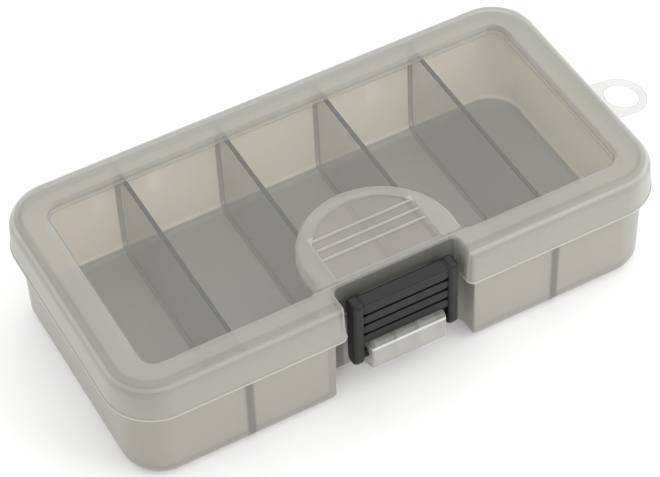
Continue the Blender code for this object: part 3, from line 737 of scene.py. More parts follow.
def window_ring(inset, height, facets):
    """The window's outline, set in by an inset: a rounded oblong that the pad bites into at the front."""
    end = LID_LENGTH / 2 - WINDOW_END_BORDER - inset
    front = FRONT + WINDOW_FRONT_BORDER + inset
    back = LID_WIDTH / 2 - WINDOW_BACK_BORDER - inset
    radius = max(WINDOW_RADIUS - inset, LEAST_RADIUS)
    bend = max(WINDOW_JOIN_RADIUS - inset, LEAST_RADIUS)
    pad = PAD_RADIUS + inset
    bend_y = front + bend
    bend_x = math.sqrt((pad + bend) ** 2 - (bend_y - PAD_CENTRE_Y) ** 2)
    dip = math.degrees(math.atan2(PAD_CENTRE_Y - bend_y, bend_x))
    points = arc((end - radius, front + radius), radius, 270, 360, facets)
    points += arc((end - radius, back - radius), radius, 0, 90, facets)
    points += arc((radius - end, back - radius), radius, 90, 180, facets)
    points += arc((radius - end, front + radius), radius, 180, 270, facets)
    points += arc((-bend_x, bend_y), bend, 270, 360 + dip, facets)
    points += arc((0, PAD_CENTRE_Y), pad, 180 + dip, -dip, facets * 4)[1:-1]
    points += arc((bend_x, bend_y), bend, 180 - dip, 270, facets)
    return [(x, y, height) for x, y in points]


def field_ring(inset, height, facets):
    """The pad's sunk field, set in by an inset: a disc cut straight at its sides and along the notch."""
    half = FIELD_WIDTH / 2 - inset
    radius = FIELD_RADIUS - inset
    front = NOTCH_BACK + FIELD_LAND + inset
    lift = math.degrees(math.acos(half / radius))
    crown = arc((0, PAD_CENTRE_Y), radius, lift, 180 - lift, facets * 4)
    return [(x, y, height) for x, y in [(half, front)] + crown + [(-half, front)]]


def step_down(bm, outline, start, end, steps, facets):
    """The first and last ring of a soft step round an outline, from one (inset, height) to another."""
    rings = [add_ring(bm, outline(inset, height, facets)) for inset, height in soft_step(start, end, steps)]
    bridge(bm, rings)
    return rings[0], rings[-1]


def lid_shell(shape):
    """The lid's shell with its window and the pad's field, one closed surface."""
    facets = shape.edge_facets
    rim = lid_section(LID_EDGE_RADIUS, facets)
    notch = lid_section(NOTCH_EDGE_RADIUS, facets)
    bm = bmesh.new()
    wall = [add_ring(bm, ring) for ring in sweep(rim, notch, shape.plan_facets)]
    bridge(bm, wall)

    start, end = (-WINDOW_ROUND, CLOSED_HEIGHT), (WINDOW_SLOPE + WINDOW_ROUND, WINDOW_TOP)
    window, pane = step_down(bm, window_ring, start, end, facets, facets)
    start, end = (-FIELD_ROUND, CLOSED_HEIGHT), (FIELD_ROUND, CLOSED_HEIGHT - FIELD_DEPTH)
    field, field_floor = step_down(bm, field_ring, start, end, facets // 2, facets)
    fill(bm, wall[0], window, field)
    fill(bm, pane)
    fill(bm, field_floor)

    start, end = (-LID_WALL - WINDOW_ROUND, LID_UNDERSIDE), (-LID_WALL + WINDOW_ROUND, WINDOW_UNDERSIDE)
    below, pane = step_down(bm, window_ring, start, end, facets // 2, facets)
    fill(bm, wall[-1], below)
    fill(bm, pane)
    return mesh_of(bm, "lid")


def pin_bore():
    """The outline of the hinge pin's hole in the lid's arms and the tray's ears."""
    return arc((HINGE.y, HINGE.z), PIN_RADIUS + PIN_CLEARANCE, 360, 0, KNUCKLE_FACETS)[:-1]


def arm_mesh(side):
    """The lid's hinge arm: from the back of the skirt down and round the pin, with the pin's bore."""
    skirt = LID_WIDTH / 2 - LID_WALL / 2
    round_pin = arc((HINGE.y, HINGE.z), KNUCKLE_RADIUS, 30, -180, KNUCKLE_FACETS)
    foot = SKIRT_BOTTOM + BEAD_HEIGHT / 2
    root = [(HINGE.y - KNUCKLE_RADIUS, foot), (skirt, foot)]
    outline = [(skirt, SKIRT_BOTTOM + ARM_RISE)] + round_pin + root
    width = HINGE_WIDTH - 2 * (EAR_WIDTH + RUNNING_GAP)
    return cross_prism("arm_" + side_name(side), [outline, pin_bore()], width, side * HINGE_X)


def ledge_mesh():
    """The ledge on the notch wall that the latch snaps to."""
    top = LATCH_TOP - FLANGE_WALL - LEDGE_DROP
    outline = [
        (NOTCH_BACK + LID_WALL / 2, top),
        (NOTCH_BACK - LEDGE_REACH, top),
        (NOTCH_BACK - LEDGE_REACH, top - LEDGE_HEIGHT / 2),
        (NOTCH_BACK + LID_WALL / 2, top - LEDGE_HEIGHT - LEDGE_REACH / 2),
    ]
    return cross_prism("ledge", [outline], LEDGE_WIDTH, 0, HINGE_ROUND)


def lid_mesh(shape, material):
    mesh = lid_shell(shape)
    fittings = [ledge_mesh()] + [arm_mesh(side) for side in SIDES]
    field_floor = CLOSED_HEIGHT - FIELD_DEPTH
    if shape.rib_count:
        half_depth = (shape.rib_height + RIB_SINK) / 2
        ribs = bar_row(
            "ribs", material, count=shape.rib_count, step=(0, -shape.rib_pitch, 0),
            first=(0, FRONT + RIB_FIRST_SETBACK, field_floor - RIB_SINK + half_depth),
            length=FIELD_WIDTH + 2 * FIELD_ROUND, half_across=shape.rib_width / 2, half_upright=half_depth,
            end_size=RIB_END_SIZE, end_length=RIB_END_LENGTH,
        )
        fittings.append(ribs)
    return smooth(combine(mesh, together("fittings", fittings), "UNION"))


# Tray

def tray_section(inset, foot_radius, rim_top, facets):
    """From the underside round the foot, up to the rim, and down inside to the floor."""
    foot = inset + TRAY_DRAFT
    inner_radius = max(foot_radius - TRAY_WALL, LEAST_RADIUS)
    outside = arc((foot + foot_radius, foot_radius), foot_radius, 270, 180, facets)
    lip = inset + RIM_LEAN
    outer_edge = arc((lip + RIM_CHAMFER, rim_top - RIM_CHAMFER), RIM_CHAMFER, 180, 90, facets // 2)
    inner_edge = arc((lip + TRAY_WALL - RIM_CHAMFER, rim_top - RIM_CHAMFER), RIM_CHAMFER, 90, 0, facets // 2)
    centre = (foot + TRAY_WALL + inner_radius, TRAY_FLOOR + inner_radius)
    inside = [(inset + TRAY_WALL, SKIRT_BOTTOM)] + arc(centre, inner_radius, 180, 270, facets)
    return outside + [(inset, SKIRT_BOTTOM)] + outer_edge + inner_edge + inside


def groove_mesh(index, facets):
    """The shallow groove that a partition is seated in, round the walls and across the floor."""
    x = (index - (PARTITION_COUNT - 1) / 2) * PARTITION_PITCH
    reach = SEAT_DEPTH + SEAT_GAP
    rim_inner = TRAY_INSET + TRAY_WALL
    notch_inner = NOTCH_INSET + TRAY_WALL
    in_notch = abs(x) < NOTCH_WIDTH / 2 + notch_inner
    front = (NOTCH_BACK + notch_inner if in_notch else FRONT + rim_inner) - reach
    back = LID_WIDTH / 2 - rim_inner + reach
    front_radius = (NOTCH_FOOT_RADIUS if in_notch else FOOT_RADIUS) - TRAY_WALL + reach
    back_radius = FOOT_RADIUS - TRAY_WALL + reach
    foot = TRAY_FLOOR - reach
    top = RIM_TOP + OVERRUN
    outline = [(front + RIM_LEAN, top), (front, SKIRT_BOTTOM)]
    outline += arc((front + TRAY_DRAFT + front_radius, foot + front_radius), front_radius, 180, 270, facets)
    outline += arc((back - TRAY_DRAFT - back_radius, foot + back_radius), back_radius, 270, 360, facets)
    outline += [(back, SKIRT_BOTTOM), (back - RIM_LEAN, top)]
    return cross_prism(f"groove_{index + 1}", [outline], PARTITION_WALL + 2 * SEAT_GAP, x)


def boss_mesh():
    """The latch's boss: a rounded block with a brow, cored from below, with a hole for each stub."""
    half = BOSS_WIDTH / 2
    wall = NOTCH_BACK + NOTCH_INSET + TRAY_WALL / 2
    nose = BOSS_TOP - BOSS_NOSE_HEIGHT
    brow = [(FRONT + BOSS_BROW * back, BOSS_TOP - BOSS_BROW * drop) for back, drop in BOSS_BROW_SHAPE]
    outline = [(wall, BOSS_UNDERSIDE), (wall, BOSS_TOP)] + brow
    outline += [(FRONT, nose), (FRONT + BOSS_NOSE_DEPTH, BOSS_UNDERSIDE)]
    mesh = cross_prism("boss", [outline], BOSS_WIDTH, 0, BOSS_EDGE_RADIUS)
    width = (BOSS_WIDTH - 2 * BOSS_WALL - (BOSS_CORES - 1) * BOSS_CORE_WEB) / BOSS_CORES
    back = NOTCH_BACK + NOTCH_INSET - BOSS_WALL / 2
    tools = []
    for i in range(BOSS_CORES):
        low_x = -half + BOSS_WALL + i * (width + BOSS_CORE_WEB)
        low = (low_x, FRONT + BOSS_WALL, BOSS_UNDERSIDE - OVERRUN)
        tools.append(block(f"core_{i + 1}", low, (low_x + width, back, BOSS_TOP - BOSS_WALL)))
    mesh = combine(mesh, together("cores", tools), "DIFFERENCE")
    tools = []
    for side in SIDES:
        inner_end = side * (half - STUB_ENTRY - PIVOT_CLEARANCE)
        outer_end = side * (half + OVERRUN)
        name = "stub_hole_" + side_name(side)
        tools.append(cylinder(name, STUB_RADIUS + PIVOT_CLEARANCE, inner_end, outer_end, PIVOT.y, PIVOT.z))
    return combine(mesh, together("stub_holes", tools), "DIFFERENCE")


def ear_mesh(side, end):
    """A hinge ear on the back wall, round the pin, with a gusset below."""
    wall = LID_WIDTH / 2 - TRAY_INSET - TRAY_WALL / 2
    round_pin = arc((HINGE.y, HINGE.z), KNUCKLE_RADIUS, 90, -60, KNUCKLE_FACETS)
    outline = [(wall, HINGE.z + KNUCKLE_RADIUS)] + round_pin
    outline += [(wall, HINGE.z - KNUCKLE_RADIUS - EAR_GUSSET)]
    centre = side * HINGE_X + end * (HINGE_WIDTH - EAR_WIDTH) / 2
    return cross_prism(f"ear_{side_name(side)}_{side_name(end)}", [outline, pin_bore()], EAR_WIDTH, centre)


def tab_mesh(facets):
    """The hang tab: a flat tongue with a round hole, drooping a little, with all its rims rounded."""
    root = -TRAY_WALL / 2
    sides = arc((TAB_REACH, 0), TAB_RADIUS, -90, 90, facets * 4)
    outline = [(root, -TAB_RADIUS)] + sides + [(root, TAB_RADIUS)]
    hole = arc((TAB_REACH, 0), TAB_HOLE_RADIUS, 360, 0, facets * 6)[:-1]
    mesh = prism("tab", [outline, hole], -TAB_WALL / 2, TAB_WALL / 2, TAB_ROUND)
    wall = LID_LENGTH / 2 - TRAY_INSET
    place = Matrix.Translation((wall, 0, SKIRT_BOTTOM - TAB_DROP))
    mesh.transform(place @ Matrix.Rotation(TAB_DROOP, 4, "Y"))
    return mesh


def tray_mesh(shape):
    facets = shape.edge_facets
    rim = tray_section(TRAY_INSET, FOOT_RADIUS, RIM_TOP, facets)
    notch = tray_section(NOTCH_INSET, NOTCH_FOOT_RADIUS, NOTCH_RIM_TOP, facets)
    mesh = loft("tray", sweep(rim, notch, shape.plan_facets))
    grooves = together("grooves", [groove_mesh(i, facets) for i in range(PARTITION_COUNT)])
    mesh = combine(mesh, grooves, "DIFFERENCE")
    fittings = [boss_mesh(), tab_mesh(facets)]
    fittings += [ear_mesh(side, end) for side in SIDES for end in SIDES]
    return smooth(combine(mesh, together("fittings", fittings), "UNION"))


# Latch

def rail_mesh(side, facets):
    """A side rail: round below, with a rounded brow and heel on top."""
    foot = arc((PIVOT.y, PIVOT.z), RAIL_DEPTH / 2, 180, 360, facets * 3)
    heel = arc((LATCH_BACK - LATCH_BACK_ROUND, LATCH_TOP - LATCH_BACK_ROUND), LATCH_BACK_ROUND, 0, 90, facets)
    brow_y = LATCH_FRONT + LATCH_FRONT_ROUND
    brow = arc((brow_y, LATCH_TOP - LATCH_FRONT_ROUND), LATCH_FRONT_ROUND, 90, 180, facets)
    centre = side * (RAIL_INNER + RAIL_WIDTH / 2)
    return cross_prism("rail_" + side_name(side), [foot + heel + brow], RAIL_WIDTH, centre, RAIL_SOFTNESS)


def panel_mesh(shape, material):
    """The panel between the rails: a flange behind, a rounded brow in front and the finger grooves."""
    face = LATCH_FRONT + PANEL_RECESS
    rear = face + PANEL_WALL
    foot = BOSS_TOP + PANEL_CLEARANCE
    flange = LATCH_TOP - FLANGE_WALL
    back = LATCH_BACK - RAIL_EDGE_RADIUS / 2
    crest = LATCH_TOP - RAIL_EDGE_RADIUS / 2
    brow = (face + PANEL_BROW_RADIUS - PANEL_BROW_PROUD, crest - PANEL_BROW_RADIUS)
    under = math.degrees(math.acos((brow[0] - face) / PANEL_BROW_RADIUS))
    outline = [
        (face, foot),
        (rear, foot),
        (rear, flange),
        (back, flange),
        (back, LATCH_TOP - RAIL_EDGE_RADIUS),
        (back - RAIL_EDGE_RADIUS, crest),
    ]
    outline += arc(brow, PANEL_BROW_RADIUS, 90, 180 + under, 2 * shape.edge_facets)
    mesh = cross_prism("latch", [outline], 2 * RAIL_INNER + RAIL_WIDTH)
    if not shape.groove_count:
        return mesh
    grooves = bar_row(
        "grooves", material, count=shape.groove_count, step=(0, 0, -shape.groove_pitch),
        first=(0, face, LATCH_TOP - FIRST_GROOVE_DROP), length=2 * RAIL_INNER + RAIL_EDGE_RADIUS,
        half_across=shape.groove_depth, half_upright=shape.groove_height / 2,
        end_size=shape.groove_flare, end_length=GROOVE_END_LENGTH,
    )
    return combine(mesh, grooves, "DIFFERENCE")


def latch_mesh(shape, material):
    parts = []
    for side in SIDES:
        tip = side * (BOSS_WIDTH / 2 - STUB_ENTRY)
        middle = side * (RAIL_INNER + RAIL_WIDTH / 2)
        stub = cylinder("stub", STUB_RADIUS, tip, middle, PIVOT.y, PIVOT.z)
        parts.append(combine(rail_mesh(side, shape.edge_facets), stub, "UNION"))
    return smooth(combine(panel_mesh(shape, material), together("rails", parts), "UNION"))


# Shader node groups

FAR = 1.0
ALL = (-FAR, FAR)
FADE = 0.2 * MM
LEAST_FACING = 0.2
UPWARD_SLOPES = (0.35, 0.60)
WINDOW_LINE = (0.1 * MM, 0.5 * MM)
BORDER_LINE_CORE = 0.3


def shader_group(name, **inputs):
    """The wiring of a new shader node group, and its inputs, which start at the given values."""
    group = bpy.data.node_groups.new(name, "ShaderNodeTree")
    for label, value in labelled(inputs).items():
        kind = "NodeSocketVector" if isinstance(value, tuple) else "NodeSocketFloat"
        group.interface.new_socket(label, in_out="INPUT", socket_type=kind).default_value = value
    wire = Wiring(group)
    return wire, wire.node("NodeGroupInput").outputs


def moulded_surface():
    """Fine grain and slow unevenness of moulded plastic: a height for bump and a cloudy mask."""
    wire, given = shader_group("moulded_surface", grain_scale=2500.0, cloud_scale=28.0)
    place = wire.place()
    grain = {"Vector": place, "Scale": given["Grain scale"], "Detail": 2.0}
    cloud = {"Vector": place, "Scale": given["Cloud scale"], "Detail": 3.0, "Roughness": 0.45}
    height, cloud = (wire.node("ShaderNodeTexNoise", noise).outputs["Fac"] for noise in (grain, cloud))
    return wire.give(Height=height, Cloud=cloud)


def oblong_distance():
    """How far a point lies outside an upright oblong with round corners, negative inside it."""
    wire, given = shader_group("oblong_distance", centre=(0, 0, 0), half_size=(0, 0, 0), radius=0.0)
    reach = wire.vector("ABSOLUTE", wire.vector("SUBTRACT", wire.place(), given["Centre"]))
    past = wire.vector("ADD", wire.vector("SUBTRACT", reach, given["Half size"]), given["Radius"])
    x, y = (wire.number("MAXIMUM", value, 0.0) for value in wire.split(past)[:2])
    outside = wire.vector("LENGTH", wire.join(x, y))
    return wire.give(Distance=wire.number("SUBTRACT", outside, given["Radius"]))


def box_region():
    """A mask that is 1 inside a box in the object's own coordinates and fades to 0 outside it."""
    wire, given = shader_group("box_region", centre=(0, 0, 0), half_size=(0, 0, 0), fade=0.0)
    reach = wire.vector("ABSOLUTE", wire.vector("SUBTRACT", wire.place(), given["Centre"]))
    x, y, z = wire.split(wire.vector("SUBTRACT", reach, given["Half size"]))
    most = wire.number("MAXIMUM", wire.number("MAXIMUM", x, y), z)
    return wire.give(Mask=wire.fade(most, 0.0, given["Fade"]))


def zone(x=ALL, y=ALL, z=ALL, fade=FADE):
    """The inputs of box_region for a box with these ranges."""
    low, high = (Vector(corner) for corner in zip(x, y, z))
    return {"centre": (low + high) / 2, "half_size": (high - low) / 2, "fade": fade}


def window_region():
    """A mask that is 1 over the lid's clear window, and one of the line along its edge."""
    wire, _ = shader_group("window_region")
    high = Vector((LID_LENGTH / 2 - WINDOW_END_BORDER, LID_WIDTH / 2 - WINDOW_BACK_BORDER, 0))
    low = Vector((-high.x, FRONT + WINDOW_FRONT_BORDER, 0))
    middle, half = (low + high) / 2, (high - low) / 2
    oblong = wire.group(oblong_distance, centre=middle, half_size=half, radius=WINDOW_RADIUS)[0]
    x, y, _ = wire.split(wire.place())
    from_pad = wire.vector("LENGTH", wire.join(x, wire.number("SUBTRACT", y, PAD_CENTRE_Y)))
    edge = wire.number("MAXIMUM", oblong, wire.number("SUBTRACT", PAD_RADIUS, from_pad))
    mask = wire.fade(edge, -WINDOW_SLOPE - WINDOW_ROUND, 0.0)
    foot = wire.number("ABSOLUTE", wire.number("ADD", oblong, WINDOW_SLOPE))
    return wire.give(Mask=mask, Line=wire.fade(foot, *WINDOW_LINE))


def border_line():
    """A mask that is 1 on a line that follows the lid's outline, some way in from it."""
    wire, given = shader_group("border_line", inset=0.0, width=1.0 * MM)
    half = (LID_LENGTH / 2, LID_WIDTH / 2, 0)
    outline = wire.group(oblong_distance, half_size=half, radius=PLAN_RADIUS)[0]
    away = wire.number("ABSOLUTE", wire.number("ADD", outline, given["Inset"]))
    return wire.give(Mask=wire.fade(wire.number("DIVIDE", away, given["Width"]), BORDER_LINE_CORE, 1.0))


def tray_inside():
    """A mask that is 1 on the tray's inner faces, from the middle of its wall inwards."""
    wire, _ = shader_group("tray_inside")
    half = (LID_LENGTH / 2 - TRAY_INSET, LID_WIDTH / 2 - TRAY_INSET, 0)
    plan = wire.group(oblong_distance, half_size=half, radius=PLAN_RADIUS - TRAY_INSET)[0]
    wall = TRAY_WALL - SEAT_DEPTH
    height = wire.split(wire.place())["Z"]
    depth = wire.ramp(height, TRAY_FLOOR, 0.75 * FOOT_RADIUS, 0.55 * FOOT_RADIUS, wall)
    apart = wire.fade(wire.number("ADD", plan, depth), 0.0, wall / 2)
    for part, top in ((TRAY_WALL, FAR), (NOTCH_FOOT_RADIUS, 1.3 * TRAY_FLOOR)):
        inset = NOTCH_INSET + part / 2
        half = NOTCH_WIDTH / 2 + inset
        notch = zone((-half, half), (-FAR, NOTCH_BACK + inset), (-FAR, top), TRAY_WALL / 3)
        apart = wire.number("SUBTRACT", apart, wire.group(box_region, **notch)[0])
    above = wire.group(box_region, **zone(z=(0.9 * TRAY_FLOOR, FAR), fade=TRAY_FLOOR / 8))[0]
    return wire.give(Mask=wire.number("MULTIPLY", apart, above, use_clamp=True))


def partition_shade_stripes():
    """A mask of the stripes where the partitions meet the tray's walls, which carry painted shade."""
    wire, given = shader_group("partition_shade_stripes", width=PARTITION_WALL)
    share = wire.number("FRACT", wire.number("DIVIDE", wire.split(wire.place())["X"], PARTITION_PITCH))
    off = wire.number("ABSOLUTE", wire.number("SUBTRACT", share, 0.5))
    off = wire.number("MULTIPLY", off, PARTITION_PITCH)
    stripe = wire.fade(off, wire.number("MULTIPLY", given["Width"], 0.5), given["Width"])
    reach = PARTITION_COUNT / 2 * PARTITION_PITCH
    middle = zone(x=(-reach, reach), z=(-FAR, SKIRT_BOTTOM), fade=2.5 * FADE)
    return wire.give(Mask=wire.number("MULTIPLY", stripe, wire.group(box_region, **middle)[0]))


def upward_region():
    """A mask that is 1 on faces that look straight up, and 0 on slopes and walls."""
    wire, _ = shader_group("upward_region")
    normal = wire.split(wire.node("ShaderNodeTexCoord").outputs["Normal"])
    return wire.give(Mask=wire.ramp(normal["Z"], *UPWARD_SLOPES))


def slanted_sheet():
    """The opacity of a thin sheet that is seen at a slant, from its opacity seen square on."""
    wire, given = shader_group("slanted_sheet", opacity=0.5, facing=0.0)
    square = wire.number("MAXIMUM", wire.number("SUBTRACT", 1.0, given["Facing"]), LEAST_FACING)
    path = wire.number("DIVIDE", 1.0, square)
    clear = wire.number("POWER", wire.number("SUBTRACT", 1.0, given["Opacity"]), path)
    return wire.give(Opacity=wire.number("SUBTRACT", 1.0, clear))


# Materials

# Colour, opacity and roughness of small regions, where None keeps what the plastic has elsewhere
FIELD_LOOK = ((0.41, 0.395, 0.355), 0.29, None)
RIM_LOOK = ((0.33, 0.35, 0.345), 0.8, None)
# Painted shade on the boss's top, under the latch.
BOSS_TOP_SHADE = ((0.26, 0.265, 0.24), 0.5, 0.15)
# Painted highlight along the boss's brow.
BOSS_BROW_HIGHLIGHT = ((0.72, 0.72, 0.69), 0.6, 0.15)
TAB_LOOK = ((0.25, 0.25, 0.24), 0.15, 0.20)

# Where regions begin and end beside the faces that they follow
FIELD_SKIN = 0.15 * MM
RIB_FOOT = 0.25 * MM
RIB_MARGIN = 1.5 * MM
WALL_SKIN = 0.1 * MM
EAR_FOOT = 0.3 * MM
# Painted shade along the partitions' top edges.
TOP_EDGE_SHADE_STRIP = 0.5 * MM
PANEL_SKIN = 0.35 * MM
GROOVE_MARGIN = 1.5 * MM
# Painted shade in the seams between the latch's rails and its panel.
RAIL_SEAM_SHADE = (-0.4 * MM, 0.1 * MM)
BOSS_BROW_BAND = (1.1, 0.7)
# A painted highlight line along the lid's rounded top edge, and a painted shade line further in.
OUTER_HIGHLIGHT_LINE = {"inset": 1.3 * MM, "width": 0.6 * MM}
INNER_SHADE_LINE = {"inset": 3.8 * MM, "width": 0.9 * MM}

# Optics of the moulded plastics
PLASTIC_IOR = 1.49
SCATTERED = 0.7
CLOUD_SPREAD = 0.05
WAVINESS = 0.4 * MM
GRAIN_DEPTH = 0.02 * MM
WIRE_LINE_DEPTH = 0.01 * MM


def new_material(name):
    """A material, its main shader and the wiring of its nodes."""
    material = bpy.data.materials.new(name)
    material.use_nodes = True
    return material, material.node_tree.nodes["Principled BSDF"], Wiring(material.node_tree)


def shade(colour, share):
    return tuple(min(c * share, 1) for c in colour)


def milky_plastic(name, colour, opacity, regions, roughness=0.36, gleam=0.5):
    """Translucent moulded plastic, a little cloudy, with a colour and an opacity of its own in each region.

    A shadow behind it is lighter than its opacity, as the plastic scatters part of the light forward.
    A region is its mask's build function, the mask's inputs, and the colour, opacity and roughness there,
    where None keeps the one that the plastic has elsewhere. A sixth value names the group's output.
    """
    material, shader, wire = new_material(name)
    cloud = wire.group(moulded_surface)["Cloud"]
    tint, haze, gloss = colour, opacity, roughness
    for build, inputs, local_colour, local_opacity, local_roughness, *output in regions:
        mask = wire.group(build, **inputs)[output[0] if output else "Mask"]
        if local_colour is not None:
            tint = wire.mix_colour(mask, tint, local_colour)
        if local_opacity is not None:
            haze = wire.mix(mask, haze, local_opacity)
        if local_roughness is not None:
            gloss = wire.mix(mask, gloss, local_roughness)
    uneven = wire.ramp(cloud, 0.0, 1.0, 1 - CLOUD_SPREAD, 1 + CLOUD_SPREAD)
    sheet = wire.group(
        slanted_sheet, opacity=wire.number("MULTIPLY", haze, uneven),
        facing=wire.node("ShaderNodeLayerWeight", {"Blend": 0.5}).outputs["Facing"],
    )
    shadow = wire.node("ShaderNodeLightPath").outputs["Is Shadow Ray"]
    through = wire.number("MULTIPLY_ADD", shadow, -SCATTERED, 1.0)
    wire.fill(shader, {
        "Base Color": wire.mix_colour(1.0, tint, uneven, blend_type="MULTIPLY"),
        "Roughness": wire.number("MULTIPLY", gloss, uneven),
        "Alpha": wire.number("MULTIPLY", sheet["Opacity"], through),
        "Normal": wire.bump(cloud, 0.3, WAVINESS),
        "IOR": PLASTIC_IOR,
        "Specular IOR Level": gleam,
    })
    return material


def lid_plastic(finish):
    """The lid's plastic: hazy on its border and skirt, clear in its window, with painted highlight on its
    bead.
    """
    colour = finish.lid_colour
    field_floor = CLOSED_HEIGHT - FIELD_DEPTH
    pad = (-FIELD_WIDTH / 2, FIELD_WIDTH / 2)
    first_rib = FRONT + RIB_FIRST_SETBACK
    ribs_y = (first_rib - 3 * RIB_PITCH, first_rib + RIB_MARGIN)
    ribs = zone(pad, ribs_y, (field_floor + RIB_FOOT, FAR), FADE / 2)
    field_y = (NOTCH_BACK + 2 * LID_WALL, PAD_CENTRE_Y + FIELD_RADIUS)
    field = zone(pad, field_y, (-FAR, field_floor + FIELD_SKIN))
    bead = zone(z=(-FAR, SKIRT_BOTTOM + BEAD_HEIGHT))
    behind = LID_WIDTH / 2 + BEAD_PROUD + WALL_SKIN
    arms = zone(y=(behind, FAR), z=(-FAR, SKIRT_BOTTOM + ARM_RISE))
    half = NOTCH_WIDTH / 2 - NOTCH_EDGE_RADIUS
    notch_z = (SKIRT_BOTTOM, CLOSED_HEIGHT - NOTCH_EDGE_RADIUS)
    notch = zone((-half, half), (-FAR, NOTCH_BACK + LID_WALL), notch_z, 2 * FADE)
    return milky_plastic("lid_plastic", colour, finish.lid_opacity, [
        (box_region, field, *FIELD_LOOK),
        (window_region, {}, finish.window_colour, finish.window_opacity, 0.25),
        # Painted shade: a darker line along the foot of the window's edge.
        (window_region, {}, shade(colour, 0.6), 0.35, None, "Line"),
        # Painted shade: a darker line along the border, some way in from the rounded edge.
        (border_line, INNER_SHADE_LINE, shade(colour, 0.85), None, None),
        # Painted highlight: a lighter, glossier line along the rounded top edge.
        (border_line, OUTER_HIGHLIGHT_LINE, shade(colour, 1.45), None, 0.25),
        # Painted shade in the notch behind the latch.
        (box_region, notch, shade(colour, 0.45), 0.6, None),
        # Painted highlight along the skirt's bead.
        (box_region, bead, shade(colour, 1.3), 0.6, None),
        (box_region, arms, colour, finish.hinge_opacity, None),
        # Painted highlight on the pad's ribs.
        (box_region, ribs, shade(colour, 1.3), 0.48, None),
    ])


def tray_plastic(finish):
    """The tray's plastic: hazy on the walls, with painted shade on the floor inside, clear in the hang tab.
    """
    colour = finish.tray_colour
    tab = zone(x=(LID_LENGTH / 2 - TRAY_INSET + TAB_ROUND, FAR), fade=TAB_WALL)
    sides = (-BOSS_WIDTH / 2, BOSS_WIDTH / 2)
    boss = zone(sides, (-FAR, NOTCH_BACK + NOTCH_INSET), (BOSS_UNDERSIDE, BOSS_TOP), 2.5 * FADE)
    brow_low, brow_high = (BOSS_TOP - drop * BOSS_BROW for drop in BOSS_BROW_BAND)
    top = zone(sides, (-FAR, NOTCH_BACK), (brow_high, BOSS_TOP + BOSS_BROW))
    brow = zone(sides, (-FAR, FRONT + BOSS_BROW / 2), (brow_low, brow_high))
    ears = zone(y=(LID_WIDTH / 2 - TRAY_INSET + EAR_FOOT, FAR), z=(0, FAR), fade=2.5 * FADE)
    rim = zone(z=(RIM_TOP - TRAY_WALL, FAR), fade=1.5 * FADE)
    return milky_plastic("tray_plastic", colour, finish.tray_opacity, [
        # Painted shade where the partitions meet the walls, seen through them.
        (partition_shade_stripes, {"width": 1.3 * PARTITION_WALL}, shade(colour, 0.55), 0.75, None),
        # Painted light: the inner walls are painted much lighter, as if lit through the walls.
        (tray_inside, {}, finish.inside_colour, finish.inside_opacity, None),
        # Painted shade: the floor inside, where faces look up, is painted dark.
        (upward_region, {}, finish.floor_colour, finish.floor_opacity, None),
        (box_region, rim, *RIM_LOOK),
        (box_region, ears, colour, finish.hinge_opacity, None),
        (box_region, boss, finish.boss_colour, finish.boss_opacity, 0.18),
        # Painted shade on the boss's top, under the latch.
        (box_region, top, *BOSS_TOP_SHADE),
        # Painted highlight along the boss's brow.
        (box_region, brow, *BOSS_BROW_HIGHLIGHT),
        (box_region, tab, *TAB_LOOK),
    ])


def partition_plastic(finish):
    """The partitions' plastic, with painted shade along the top edges, where the sheet is seen edge on."""
    colour = finish.partition_colour
    edge = zone(z=(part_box("partition_1")[1].z - TOP_EDGE_SHADE_STRIP, FAR))
    # Painted shade along the top edges.
    regions = [(box_region, edge, shade(colour, 0.25), 0.95, 0.6)]
    return milky_plastic("partition_plastic", colour, finish.partition_opacity, regions, 0.4, 0.2)


def latch_plastic(finish):
    """Black moulded plastic: a fine spark-eroded grain, worn, smoother patches, painted shade in its hollows.
    """
    material, shader, wire = new_material("latch_plastic")
    surface = wire.group(moulded_surface, grain_scale=3200.0, cloud_scale=160.0)
    tint = wire.tinted(finish.latch_colour, surface["Cloud"], 0.15)
    # Painted shade in the finger grooves and in the seams beside the rails.
    grooves_y = (LATCH_FRONT + PANEL_RECESS + PANEL_SKIN, FAR)
    grooves_z = (-FAR, LATCH_TOP - FIRST_GROOVE_DROP + GROOVE_MARGIN)
    shaded_hollows = [zone((-RAIL_INNER, RAIL_INNER), grooves_y, grooves_z)]
    for side in SIDES:
        shaded_seam = sorted(side * (RAIL_INNER + margin) for margin in RAIL_SEAM_SHADE)
        shaded_hollows.append(zone(x=shaded_seam, z=(-FAR, LATCH_TOP), fade=0.75 * FADE))
    for shaded_hollow in shaded_hollows:
        mask = wire.group(box_region, **shaded_hollow)["Mask"]
        tint = wire.mix_colour(mask, tint, shade(finish.latch_colour, 0.2))
    wire.fill(shader, {
        "Base Color": tint,
        "Roughness": wire.ramp(surface["Cloud"], 0.0, 1.0, 0.36, 0.50),
        "Normal": wire.bump(surface["Height"], 0.5, GRAIN_DEPTH),
        "Specular IOR Level": 0.30,
    })
    return material


def pin_steel(finish):
    """Drawn steel wire with fine lines along the pin."""
    material, shader, wire = new_material("pin_steel")
    stretch = wire.node("ShaderNodeMapping", {"Vector": wire.place(), "Scale": (40.0, 4000.0, 4000.0)})
    noise = {"Vector": stretch.outputs[0], "Scale": 1.0, "Detail": 3.0}
    lines = wire.node("ShaderNodeTexNoise", noise).outputs["Fac"]
    wire.fill(shader, {
        "Base Color": wire.tinted(finish.steel_colour, lines, 0.12),
        "Roughness": wire.ramp(lines, 0.0, 1.0, 0.22, 0.40),
        "Normal": wire.bump(lines, 0.3, WIRE_LINE_DEPTH),
        "Metallic": 1.0,
    })
    return material


# Studio

